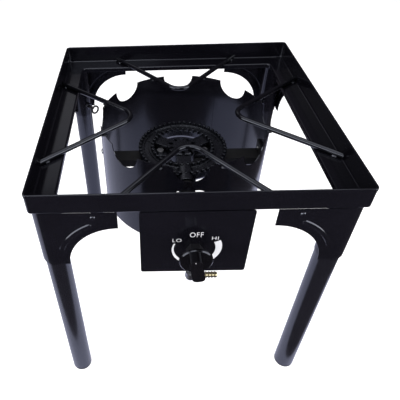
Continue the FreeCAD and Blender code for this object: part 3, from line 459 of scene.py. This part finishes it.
class Finish:
    """A material that varies over the surface, built on one principled shader."""

    def __init__(self, name, metallic, specular, tint):
        self.material = bpy.data.materials.new(name)
        self.material.use_nodes = True
        self.tree = self.material.node_tree
        self.shader = self.tree.nodes["Principled BSDF"]
        self.shader.inputs["Metallic"].default_value = metallic
        self.shader.inputs["Specular IOR Level"].default_value = specular
        self.shader.inputs["Specular Tint"].default_value = (*tint, 1)
        self.place = add_node(self.tree, "TexCoord", {}).outputs["Object"]

    def drive(self, source, node, socket, result, target):
        """Leads a source through a node to an input of the shader."""
        self.tree.links.new(source, node.inputs[socket])
        self.tree.links.new(node.outputs[result], self.shader.inputs[target])

    def grain(self, scale, detail=2.0):
        texture = add_node(self.tree, "TexNoise", {"Scale": scale, "Detail": detail})
        self.tree.links.new(self.place, texture.inputs["Vector"])
        return texture.outputs["Fac"]

    def colours(self, tone, spread, scale):
        """The colour wanders between two tones, spread apart by a share."""
        blend = add_node(self.tree, "Mix", {})
        blend.data_type = "RGBA"
        blend.inputs["A"].default_value = (*(channel * (1 - spread) for channel in tone), 1)
        blend.inputs["B"].default_value = (*(min(channel * (1 + spread), 1) for channel in tone), 1)
        self.drive(self.grain(scale), blend, "Factor", "Result", "Base Color")

    def gloss(self, roughness, spread, scale):
        """The roughness wanders round its mean."""
        span = add_node(self.tree, "MapRange", {"To Min": roughness - spread, "To Max": roughness + spread})
        self.drive(self.grain(scale), span, "Value", "Result", "Roughness")

    def bumps(self, scale, height, detail=2.0):
        """Fine relief of the coat, casting or plating."""
        bump = add_node(self.tree, "Bump", {"Distance": height})
        self.drive(self.grain(scale, detail), bump, "Height", "Normal", "Normal")

    def soot(self, reach, open_shine, shaded_shine):
        """Painted shade: the shine is dimmed in the hollows as the ambient occlusion falls."""
        hollow = add_node(self.tree, "AmbientOcclusion", {"Distance": reach})
        span = add_node(self.tree, "MapRange", {"From Min": HOLLOW_SHADE_SHUT, "From Max": HOLLOW_SHADE_OPEN,
                                                "To Min": shaded_shine, "To Max": open_shine})
        self.drive(hollow.outputs["AO"], span, "Value", "Result", "Specular IOR Level")

    def glow(self, strength, tint):
        self.shader.inputs["Emission Color"].default_value = (*tint, 1)
        self.shader.inputs["Emission Strength"].default_value = strength


# How each finish is made: its tone and how far and how finely that wanders (mottle), the same for its
# roughness (wear), its relief by scale, height and detail, and its painted shade in the hollows by the reach
# of the hollows and the shine outside and in them. A name stands for a value of the finishes or the stage.
FINISHES = {
    "powder_coat": dict(cool=True, tone="coat", mottle=(0.3, 22), rough="coat_gloss", wear=(0.04, 35),
                        relief=(650, 0.000004)),
    "shield_coat": dict(cool=True, tone="coat", mottle=(0.3, 22), rough=0.17, wear=(0.03, 35),
                        relief=(500, 0.000004)),
    "rivet_coat": dict(cool=True, specular=1.0, tone="coat", mottle=(0.3, 22), rough=0.12, wear=(0.03, 90),
                       relief=(900, 0.00001)),
    "leg_coat": dict(cool=True, specular=0.9, tone="leg", mottle=(0.2, 26), rough="leg_gloss",
                     wear=(0.04, 30), relief=(600, 0.000004)),
    "rod_coat": dict(cool=True, specular=0.6, tone="rod", mottle=(0.35, 60), rough="rod_gloss",
                     wear=(0.03, 90), relief=(420, 0.00003, 4)),
    "heat_paint": dict(specular=0.3, tone="heat", mottle=(0.4, 80), rough=0.55, wear=(0.1, 120),
                       relief=(900, 0.00006, 4)),
    # The cast iron's shine is dimmed in its hollows by ambient occlusion: painted shade.
    "cast_iron": dict(cool=True, tone="iron", mottle=(0.45, 110), rough=0.26, wear=(0.07, 160),
                      relief=(520, 0.00010, 5), soot=(0.005, 0.9, 0.05)),
    "zinc_plate": dict(metallic=1.0, tone="zinc", mottle=(0.12, 180), rough=0.30, wear=(0.08, 220),
                       relief=(1500, 0.00002)),
    "black_plate": dict(metallic=0.4, tone="black_zinc", mottle=(0.3, 160), rough=0.36, wear=(0.08, 200),
                        relief=(1200, 0.00003)),
    "turned_brass": dict(metallic=1.0, tone="brass", mottle=(0.10, 140), rough=0.30, wear=(0.07, 260),
                         relief=(1800, 0.00002)),
    "knob_moulding": dict(cool=True, specular=0.4, tone="knob", mottle=(0.2, 90), rough=0.14,
                          wear=(0.03, 140), relief=(900, 0.000004)),
    "cap_plastic": dict(specular=0.4, tone="cap", mottle=(0.25, 90), rough=0.50, wear=(0.06, 140),
                        relief=(1800, 0.00003)),
    "white_print": dict(specular=0.3, tone="print_white", mottle=(0.05, 400), rough=0.50, wear=(0.06, 300)),
    "studio_floor": dict(specular=0.1, tone="floor", mottle=(0.004, 3), rough=0.80, wear=(0.05, 8),
                         glow="floor_glow"),
    "studio_card": dict(specular=0.0, tone="card", mottle=(0.1, 3), rough=0.80, wear=(0.05, 8),
                        glow="card_glow", shine="card_shine"),
}


def finish(name):
    """The stove's finish of that name, made when it is first asked for."""
    if name in bpy.data.materials:
        return bpy.data.materials[name]
    look, stage = bpy.context.scene.stove_finishes, bpy.context.scene.stove_stage
    recipe = FINISHES[name]
    tint = look.sheen if "cool" in recipe else WHITE
    made = Finish(name, recipe.get("metallic", 0.0), recipe.get("specular", 0.5), tint)
    made.colours(getattr(look, recipe["tone"]), *recipe["mottle"])
    rough = recipe["rough"]
    made.gloss(getattr(look, rough) if isinstance(rough, str) else rough, *recipe["wear"])
    if "relief" in recipe:
        made.bumps(*recipe["relief"])
    # Painted shade: the shine is dimmed in the hollows.
    if "soot" in recipe:
        made.soot(*recipe["soot"])
    if "glow" in recipe:
        shine = getattr(look, recipe["shine"]) if "shine" in recipe else WHITE
        made.glow(getattr(stage, recipe["glow"]), shine)
    return made.material


SLOT_FINISH = {
    "black_paint": "powder_coat",
    "rod_paint": "rod_coat",
    "leg_paint": "leg_coat",
    "dark_steel": "heat_paint",
    "burner_iron": "cast_iron",
    "zinc_steel": "zinc_plate",
    "black_zinc": "black_plate",
    "brass": "turned_brass",
    "knob_plastic": "knob_moulding",
    "foot_plastic": "cap_plastic",
}


def own_finish(node):
    return finish(SLOT_FINISH[NODE_SLOT[node]])


def bead(bm, centre, along, size, seed):
    """Adds one lumpy weld bead, lying along a direction."""
    made = bmesh.ops.create_icosphere(bm, subdivisions=3, radius=0.5)["verts"]
    for vert in made:
        vert.co *= 1 + BEAD_LUMPS * noise.noise(vert.co * BEAD_GRAIN + Vector((seed, 0, 0)))
    turn = along.to_track_quat("X", "Z").to_matrix().to_4x4()
    place = Matrix.Translation(centre) @ turn @ Matrix.Diagonal((*size, 1))
    bmesh.ops.transform(bm, matrix=place, verts=made)


class STOVE_OT_stage(bpy.types.Operator):
    """Builds the studio: floor, soft light and camera"""
    bl_idname = "stove.stage"
    bl_label = "Studio"

    def execute(self, context):
        stage = context.scene.stove_stage
        self.lay_floor(stage)
        self.light_room(context, stage)
        self.hang_lights(context, stage)
        self.set_camera(context, stage)
        context.scene.view_settings.view_transform = "Standard"
        return {"FINISHED"}

    def lay_floor(self, stage):
        """The floor, and under it the pale card that only mirrored light can see."""
        half = stage.floor_side / 2
        corners = [(-half, -half), (half, -half), (half, half), (-half, half)]
        floor = self.lay_sheet("studio_floor", corners, 0)
        floor.visible_glossy = False
        left, right = -stage.card_left, stage.card_right
        self.lay_sheet("studio_card", [(left, -stage.card_front), (right, stage.card_skew - stage.card_front),
                                       (right, stage.card_back), (left, stage.card_back)], -stage.card_drop)

    def lay_sheet(self, name, corners, level):
        bm = bmesh.new()
        bm.faces.new([bm.verts.new((*corner, level)) for corner in corners])
        sheet = add_piece(name, bm)
        sheet.data.materials.append(finish(name))
        return sheet

    def light_room(self, context, stage):
        """Pale light from above the horizon, dim light from below it, and a plain backdrop for the camera."""
        world = context.scene.world or bpy.data.worlds.new("studio_room")
        context.scene.world = world
        world.use_nodes = True
        tree, links = world.node_tree, world.node_tree.links
        room = tree.nodes["Background"]
        room.inputs["Color"].default_value = (*stage.room_tint, 1)
        parts = add_node(tree, "SeparateXYZ", {})
        links.new(add_node(tree, "TexCoord", {}).outputs["Generated"], parts.inputs["Vector"])
        horizon = add_node(tree, "MapRange", {"From Min": -HORIZON_BLUR, "From Max": HORIZON_BLUR,
                                              "To Min": stage.room_shade, "To Max": stage.room_light})
        links.new(parts.outputs["Z"], horizon.inputs["Value"])
        links.new(horizon.outputs["Result"], room.inputs["Strength"])
        backdrop = add_node(tree, "Background", {"Color": (*stage.backdrop, 1)})
        seen = add_node(tree, "MixShader", {})
        links.new(add_node(tree, "LightPath", {}).outputs["Is Camera Ray"], seen.inputs["Fac"])
        links.new(room.outputs["Background"], seen.inputs[1])
        links.new(backdrop.outputs["Background"], seen.inputs[2])
        links.new(seen.outputs["Shader"], tree.nodes["World Output"].inputs["Surface"])

    def hang_lights(self, context, stage):
        target = Vector((0, 0, CAD_BOX[1].z / 2))
        for side in SOFTBOXES:
            name = side + "_softbox"
            light = bpy.data.lights.new(name, "AREA")
            light.shape = "RECTANGLE"
            light.size, light.size_y = getattr(stage, side + "_size")
            light.energy = getattr(stage, side + "_power")
            lamp = bpy.data.objects.new(name, light)
            lamp.location = getattr(stage, side + "_place")
            lamp.rotation_euler = (target - lamp.location).to_track_quat("-Z", "Y").to_euler()
            context.scene.collection.objects.link(lamp)

    def set_camera(self, context, stage):
        data = bpy.data.cameras.new("photo_camera")
        data.lens = stage.lens
        data.sensor_width = stage.sensor
        data.shift_x = stage.shift_x
        data.shift_y = stage.shift_y
        camera = bpy.data.objects.new("photo_camera", data)
        yaw, pitch, roll = stage.yaw, stage.pitch, stage.roll
        ahead = Vector((math.sin(yaw) * math.cos(pitch), math.cos(yaw) * math.cos(pitch), -math.sin(pitch)))
        right = Vector((math.cos(yaw), -math.sin(yaw), 0))
        above = right.cross(ahead)
        tilted = math.cos(roll) * right + math.sin(roll) * above
        upright = math.cos(roll) * above - math.sin(roll) * right
        turn = Matrix((tilted, upright, -ahead)).transposed().to_4x4()
        camera.matrix_world = Matrix.Translation(stage.camera_place) @ turn
        context.scene.collection.objects.link(camera)
        context.scene.camera = camera


class STOVE_OT_sheet_work(bpy.types.Operator):
    """Finishes the top frame, control panel, corner brackets and leg sockets"""
    bl_idname = "stove.sheet_work"
    bl_label = "Sheet Work"

    def execute(self, context):
        sheet = context.scene.stove_sheet
        coat = finish("powder_coat")
        self.bend_frame(sheet, coat)
        finish_nodes(["control_panel"], sheet.sheet_round, coat)
        for corner in CORNERS:
            finish_nodes(["corner_bracket_" + corner, "leg_socket_" + corner], sheet.sheet_round, coat)
        self.weld_front_joint(sheet, coat)
        return {"FINISHED"}

    def bend_frame(self, sheet, coat):
        """The top frame: one bent and hemmed section led round a square."""
        outside, rim = high("top_frame").x, high("top_frame").z
        foot = low("top_frame").z
        floor = foot + sheet.lip_drop
        wall = outside - sheet.hem_outside
        inside = wall - sheet.frame_sheet
        opening = outside - sheet.flange_width
        hem = rim - sheet.hem_height
        small, bend = sheet.edge_round, sheet.frame_bend
        line = rounded_profile([
            (opening, foot, small), (opening + sheet.frame_sheet, foot, small),
            (opening + sheet.frame_sheet, floor, small), (wall, floor, bend),
            (wall, hem, small / 2), (outside, hem, small / 2), (outside, rim, sheet.hem_round),
            (inside - sheet.hem_inside, rim, sheet.hem_round), (inside - sheet.hem_inside, hem, small / 2),
            (inside, hem, small / 2), (inside, floor + sheet.frame_sheet, bend - small),
            (opening, floor + sheet.frame_sheet, bend - small),
        ])

        def corner(across):
            if across > (wall + opening) / 2:
                return max(sheet.frame_corner + across - wall, small)
            return sheet.flange_corner + across - opening

        bm = bmesh.new()
        rings = []
        for across, up in line:
            radius = corner(across)
            ring = []
            for step in range(4 * (CORNER_STEPS + 1)):
                quarter, part = divmod(step, CORNER_STEPS + 1)
                turn = QUARTER * (quarter + part / CORNER_STEPS)
                middle_turn = QUARTER * (quarter + 0.5)
                reach = (across - radius) * math.sqrt(2)
                ring.append(bm.verts.new((reach * math.cos(middle_turn) + radius * math.cos(turn),
                                          reach * math.sin(middle_turn) + radius * math.sin(turn), up)))
            rings.append(ring)
        bridge(bm, rings, closed=True)
        bmesh.ops.recalc_face_normals(bm, faces=bm.faces)
        fit(shade(add_piece("top_frame_finished", bm)), "top_frame", coat)

    def weld_front_joint(self, sheet, coat):
        """The dressed butt weld where the frame's strip is closed."""
        bm = bmesh.new()
        face = low("top_frame").y + sheet.hem_outside
        half = sheet.joint_width / 2
        rounded_block(bm, (sheet.joint_offset - half, face - sheet.joint_proud,
                           low("top_frame").z + sheet.lip_drop + sheet.frame_bend),
                      (sheet.joint_offset + half, face + half, high("top_frame").z - sheet.hem_height),
                      sheet.joint_proud / 2)
        fit(shade(add_piece("front_joint", bm)), "top_frame", coat, stands_for=False)


class STOVE_OT_wind_shield(bpy.types.Operator):
    """Finishes the wind shield and laps its seam"""
    bl_idname = "stove.wind_shield"
    bl_label = "Wind Shield"

    def execute(self, context):
        sheet = context.scene.stove_sheet
        coat = finish("shield_coat")
        fit(softened("wind_shield", sheet.sheet_round), "wind_shield", coat)
        bottom, top = low("wind_shield").z + sheet.seam_inset, high("wind_shield").z - sheet.seam_inset
        inside = high("wind_shield").x - sheet.seam_sheet
        spread = sheet.seam_width / inside / 2
        lap = inside - sheet.seam_sheet
        line = [(lap, bottom), (inside, bottom), (inside, top), (lap, top)]
        bm = bmesh.new()
        rows = []
        for step in range(SEAM_STEPS + 1):
            turn = sheet.seam_angle - spread + 2 * spread * step / SEAM_STEPS
            ahead = Vector((math.cos(turn), math.sin(turn), 0))
            rows.append([bm.verts.new(ahead * across + UP * up) for across, up in line])
        bridge(bm, rows, closed=False)
        bm.faces.new(rows[0])
        bm.faces.new(rows[-1])
        bmesh.ops.recalc_face_normals(bm, faces=bm.faces)
        fit(shade(add_piece("shield_lap_seam", bm)), "wind_shield", coat, stands_for=False)
        return {"FINISHED"}


class STOVE_OT_pot_supports(bpy.types.Operator):
    """Finishes the four bent rods and welds them to the frame and the shield"""
    bl_idname = "stove.pot_supports"
    bl_label = "Pot Supports"

    def execute(self, context):
        sheet = context.scene.stove_sheet
        finish_nodes(["pot_support_" + side for side in SIDES], sheet.rod_round, finish("rod_coat"))
        half = sheet.rod_half_angle
        rod = middle("pot_support_front").z
        virtual_apex = sheet.rod_apex - sheet.rod_bend * (1 / math.sin(half) - 1)
        shield = high("wind_shield").x
        rod_radius = rod - low("pot_support_front").z
        size = (sheet.weld_length, sheet.weld_width, sheet.weld_height)
        bm = bmesh.new()
        for count, side in enumerate(SIDES):
            turn = Matrix.Rotation(math.radians(SIDE_ANGLES[side]), 3, "Z")
            for hand in (-1, 1):
                arm = Vector((math.cos(half), hand * math.sin(half), 0))
                apex = Vector((virtual_apex, 0, rod))
                lean = apex.x * arm.x
                crossing = -lean + math.sqrt(lean * lean + shield * shield - apex.x * apex.x)
                end = (high("pot_support_right").x - apex.x) / arm.x
                seed = SIDE_SEEDS * count + hand
                for along, lump in ((crossing, seed), (end - sheet.weld_length, seed + END_SEED)):
                    self.weld_pair(bm, turn, apex + arm * along, arm, size, rod_radius, lump)
        fit(shade(add_piece("rod_welds", bm)), "pot_support_front", finish("rod_coat"), stands_for=False)
        return {"FINISHED"}

    def weld_pair(self, bm, turn, place, arm, size, rod_radius, seed):
        """Two beads, one in each corner under a rod."""
        beside = UP.cross(arm)
        for hand in (-1, 1):
            spot = place + beside * hand * rod_radius * BEAD_ASIDE - UP * rod_radius * BEAD_BELOW
            bead(bm, turn @ spot, turn @ arm, size, seed + hand * HAND_SEED)


class STOVE_OT_burner(bpy.types.Operator):
    """Casts the burner: outer ring with its raised jets, hub with its ports, webs, lugs and boss"""
    bl_idname = "stove.burner"
    bl_label = "Burner"

    def execute(self, context):
        sizes = context.scene.stove_burner
        self.top = high("burner_casting").z
        self.foot = self.top - sizes.ring_height
        self.outside = high("burner_casting").x
        self.inside = self.outside - sizes.ring_width
        casting = self.cast_ring(sizes)
        hub = carve(self.cast_hub(sizes), self.keyholes(sizes))
        for part in (hub, self.cast_arms(sizes), self.cast_boss(sizes), self.cast_jets(sizes)):
            merge(casting, part)
        fit(shade(casting), "burner_casting", finish("cast_iron"))
        return {"FINISHED"}

    def cast_ring(self, sizes):
        centre = (self.outside + self.inside) / 2
        half = sizes.channel_width / 2
        edge, soft = sizes.cast_round, sizes.cast_round / 2
        land = self.top - sizes.jet_height
        shoulder = self.foot + sizes.web_height / SHOULDER_PARTS
        floor = self.top - sizes.channel_depth
        line = rounded_profile([
            (self.inside + sizes.draft, self.foot, soft), (self.outside - sizes.draft, self.foot, soft),
            (self.outside, shoulder, edge), (self.outside, land, soft), (centre + half, land, soft),
            (centre + half, floor, soft), (centre - half, floor, soft), (centre - half, land, soft),
            (self.inside, land, soft), (self.inside, shoulder, edge),
        ])
        return add_piece("burner_casting_finished", turned(line, RING_FACETS))

    def cast_hub(self, sizes):
        radius = sizes.hub_diameter / 2
        crown = self.foot + sizes.hub_height
        line = rounded_profile([
            (0, self.foot, 0), (radius, self.foot, 0), (radius, crown, sizes.cast_round), (0, crown, 0),
        ])
        return add_piece("burner_hub", turned(line, HUB_FACETS))

    def cast_arms(self, sizes):
        reach = (self.outside + self.inside) / 2
        half = sizes.web_width / 2
        bm = bmesh.new()
        for degrees in WEB_ANGLES:
            rounded_block(bm, (0, -half, self.foot), (reach, half, self.foot + sizes.web_height),
                          sizes.cast_round, Matrix.Rotation(math.radians(degrees), 4, "Z"))
        half = sizes.lug_width / 2
        rounded_block(bm, (-reach, -half, self.foot), (reach, half, self.foot + sizes.lug_height),
                      sizes.cast_round / 2)
        return add_piece("burner_arms", bm)

    def cast_boss(self, sizes):
        front = low("burner_casting").y
        bore = high("mixing_tube").x
        depth = -self.inside - front
        line = rounded_profile([
            (bore, 0, 0), (sizes.boss_diameter / 2, 0, sizes.cast_round / 2),
            (sizes.boss_diameter / 2, depth, 0), (bore, depth, 0),
        ])
        boss = add_piece("burner_boss", turned(line, BOSS_FACETS))
        axis = middle("valve_stem")
        boss.data.transform(Matrix.Translation((axis.x, front, axis.z)) @ Matrix.Rotation(-QUARTER, 4, "X"))
        return boss

    def cast_jets(self, sizes):
        """Both rows of raised jets, each with its own bore."""
        radius, bore = sizes.jet_diameter / 2, sizes.jet_bore / 2
        sunk = self.top - sizes.channel_depth
        line = rounded_profile([
            (0, sunk, 0), (radius, sunk, 0), (radius, self.top, radius * JET_ROUND), (bore, self.top, 0),
            (bore, self.top - sizes.jet_height, 0), (0, self.top - sizes.jet_height, 0),
        ], steps=JET_STEPS)
        jet = turned(line, JET_FACETS)
        form = bpy.data.meshes.new("jet")
        jet.to_mesh(form)
        jet.free()
        bm = bmesh.new()
        edge = radius * JET_EDGE
        rows = ((self.outside - edge, sizes.outer_jets), (self.inside + edge, sizes.inner_jets))
        for across, jets in rows:
            shift = Matrix.Translation((across, 0, 0))
            for jet_place in range(jets):
                before = len(bm.verts)
                bm.from_mesh(form)
                bm.verts.ensure_lookup_table()
                turn = Matrix.Rotation(math.tau * jet_place / jets, 4, "Z")
                bmesh.ops.transform(bm, matrix=turn @ shift, verts=bm.verts[before:])
        bpy.data.meshes.remove(form)
        return add_piece("burner_jets", bm)

    def keyholes(self, sizes):
        """Cutters for the keyhole ports in the hub's edge."""
        half = sizes.hub_port_width / 2
        depth = sizes.hub_port_depth
        radius = sizes.hub_port_round / 2
        edge = sizes.hub_diameter / 2
        centre = edge - sizes.hub_port_reach
        mouth = math.asin(half / radius)
        outline = [(edge + half, -half), (edge + half, half)]
        for step in range(PORT_STEPS + 1):
            turned_by = mouth + (math.tau - 2 * mouth) * step / PORT_STEPS
            outline.append((centre + radius * math.cos(turned_by), radius * math.sin(turned_by)))
        floor = self.foot + sizes.hub_height - depth
        bm = bmesh.new()
        for port in range(sizes.hub_ports):
            turn = Matrix.Rotation(math.tau * (port + 0.5) / sizes.hub_ports, 4, "Z")
            face = bm.faces.new([bm.verts.new(turn @ Vector((x, y, floor))) for x, y in outline])
            raise_faces(bm, [face], UP * (depth + half))
        bmesh.ops.recalc_face_normals(bm, faces=bm.faces)
        return add_piece("hub_port_cutters", bm)


class STOVE_OT_gas_train(bpy.types.Operator):
    """Finishes the burner bar, mixing tube, air shutter, valve and gas fittings"""
    bl_idname = "stove.gas_train"
    bl_label = "Gas Train"

    def execute(self, context):
        sizes = context.scene.stove_fittings
        finish_nodes(["burner_bar", "mixing_tube", "air_shutter", "valve_body", "gas_jet", "valve_stem",
                      "inlet_riser", "inlet_elbow", "hose_tail"], sizes.fitting_round)
        return {"FINISHED"}


class STOVE_OT_knob(bpy.types.Operator):
    """Moulds the control knob and inlays the mark on its grip"""
    bl_idname = "stove.knob"
    bl_label = "Control Knob"

    def execute(self, context):
        sizes = context.scene.stove_fittings
        fit(softened("control_knob", sizes.knob_round, KNOB_SEGMENTS), "control_knob",
            finish("knob_moulding"))
        radius = sizes.mark_diameter / 2
        bm = turned([(0, -radius), (radius, -radius), (radius, sizes.mark_proud), (0, sizes.mark_proud)],
                    MARK_FACETS)
        mark = add_piece("knob_mark", bm)
        axis = middle("valve_stem")
        grip = high("control_knob").z - axis.z - sizes.mark_inset
        place = Vector((axis.x - grip * math.tan(sizes.knob_lean), low("control_knob").y, axis.z + grip))
        mark.data.transform(Matrix.Translation(place) @ Matrix.Rotation(QUARTER, 4, "X"))
        mark.data.materials.append(finish("white_print"))
        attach(shade(mark), NODE_BODY["control_knob"])
        return {"FINISHED"}


class STOVE_OT_dial(bpy.types.Operator):
    """Prints the words and the tapered crescent on the control panel"""
    bl_idname = "stove.dial"
    bl_label = "Dial Print"

    def execute(self, context):
        dial = context.scene.stove_dial
        self.face = low("control_panel").y
        for word, box in (("LO", dial.low_box), ("OFF", dial.off_box), ("HI", dial.high_box)):
            self.print_word(context, dial, word, box)
        self.print_crescent(dial)
        return {"FINISHED"}

    def settle(self, piece):
        piece.data.materials.clear()
        piece.data.materials.append(finish("white_print"))
        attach(piece, NODE_BODY["control_panel"])

    def print_word(self, context, dial, word, box):
        left, right, top, bottom = box
        curve = bpy.data.curves.new("letters", "FONT")
        curve.body = word
        curve.size = top - bottom
        curve.offset = dial.stroke
        curve.space_character = dial.spacing
        letters = bpy.data.objects.new("letters", curve)
        context.scene.collection.objects.link(letters)
        context.view_layer.update()
        mesh = bpy.data.meshes.new_from_object(letters.evaluated_get(context.evaluated_depsgraph_get()))
        bpy.data.objects.remove(letters)
        bm = bmesh.new()
        bm.from_mesh(mesh)
        bpy.data.meshes.remove(mesh)
        across = [vert.co.x for vert in bm.verts]
        up = [vert.co.y for vert in bm.verts]
        wide = (right - left) / (max(across) - min(across))
        tall = (top - bottom) / (max(up) - min(up))
        for vert in bm.verts:
            vert.co = Vector((left + (vert.co.x - min(across)) * wide, self.face,
                              high("top_frame").z + bottom + (vert.co.y - min(up)) * tall))
        self.settle(add_piece("dial_" + word.lower(), self.thickened(bm, dial.ink)))

    def thickened(self, bm, ink):
        bmesh.ops.remove_doubles(bm, verts=bm.verts, dist=WELD_GAP)
        raise_faces(bm, list(bm.faces), (0, -ink, 0))
        bmesh.ops.recalc_face_normals(bm, faces=bm.faces)
        return bm

    def print_crescent(self, dial):
        axis = middle("valve_stem")
        bm = bmesh.new()
        pairs = []
        for step in range(CRESCENT_STEPS + 1):
            share = step / CRESCENT_STEPS
            turn = dial.scale_start + (dial.scale_end - dial.scale_start) * share
            width = dial.scale_thin + (dial.scale_thick - dial.scale_thin) * share
            ahead = Vector((math.cos(turn), 0, math.sin(turn)))
            centre = Vector((axis.x, self.face, axis.z))
            pairs.append([bm.verts.new(centre + ahead * radius)
                          for radius in (dial.scale_inside, dial.scale_inside + width)])
        for (inner, outer), (next_inner, next_outer) in zip(pairs, pairs[1:]):
            bm.faces.new((inner, outer, next_outer, next_inner))
        self.settle(add_piece("dial_crescent", self.thickened(bm, dial.ink)))


class STOVE_OT_legs(bpy.types.Operator):
    """Finishes the four legs, their foot caps and their eye screws"""
    bl_idname = "stove.legs"
    bl_label = "Legs"

    def execute(self, context):
        sizes = context.scene.stove_fittings
        for corner in CORNERS:
            finish_nodes(["leg_" + corner], sizes.fitting_round, finish("leg_coat"))
            finish_nodes(["foot_cap_" + corner], sizes.cap_round, finish("cap_plastic"))
            finish_nodes(["leg_screw_" + corner], sizes.fitting_round, finish("black_plate"))
        return {"FINISHED"}


class STOVE_OT_fasteners(bpy.types.Operator):
    """Finishes the screws, bolts, nuts and rivets"""
    bl_idname = "stove.fasteners"
    bl_label = "Fasteners"

    def execute(self, context):
        sizes = context.scene.stove_fittings
        plated = ["bar_screws", "burner_bolts", "burner_nuts", "shutter_screw", "valve_nut"]
        painted = ["panel_rivets", "bracket_rivets", "socket_nuts"]
        finish_nodes(plated, sizes.fastener_round)
        finish_nodes(painted, sizes.fastener_round, finish("rivet_coat"))
        return {"FINISHED"}


PIECES = (
    STOVE_OT_sheet_work,
    STOVE_OT_wind_shield,
    STOVE_OT_pot_supports,
    STOVE_OT_burner,
    STOVE_OT_gas_train,
    STOVE_OT_knob,
    STOVE_OT_dial,
    STOVE_OT_legs,
    STOVE_OT_fasteners,
    STOVE_OT_stage,
)
GROUPS = {
    "stove_sheet": StoveSheetSizes,
    "stove_burner": StoveBurnerSizes,
    "stove_dial": StoveDialSizes,
    "stove_fittings": StoveFittingSizes,
    "stove_finishes": StoveFinishes,
    "stove_stage": StoveStage,
}


class STOVE_PT_build(bpy.types.Panel):
    """Lists the stove's pieces in the order in which they are built"""
    bl_idname = "STOVE_PT_build"
    bl_label = "Gas Stove"
    bl_space_type = "VIEW_3D"
    bl_region_type = "UI"
    bl_category = "Stove"

    def draw(self, context):
        for operator in PIECES:
            self.layout.operator(operator.bl_idname)
        for group, kind in GROUPS.items():
            box = self.layout.box()
            for size in kind.__annotations__:
                box.prop(getattr(context.scene, group), size)


def register():
    for kind in (*GROUPS.values(), *PIECES, STOVE_PT_build):
        bpy.utils.register_class(kind)
    for group, kind in GROUPS.items():
        setattr(bpy.types.Scene, group, PointerProperty(type=kind))


def unregister():
    for group in GROUPS:
        delattr(bpy.types.Scene, group)
    for kind in reversed((*GROUPS.values(), *PIECES, STOVE_PT_build)):
        bpy.utils.unregister_class(kind)


def main():
    register()
    for operator in PIECES:
        family, name = operator.bl_idname.split(".")
        getattr(getattr(bpy.ops, family), name)()


if __name__ == "__main__":
    main()
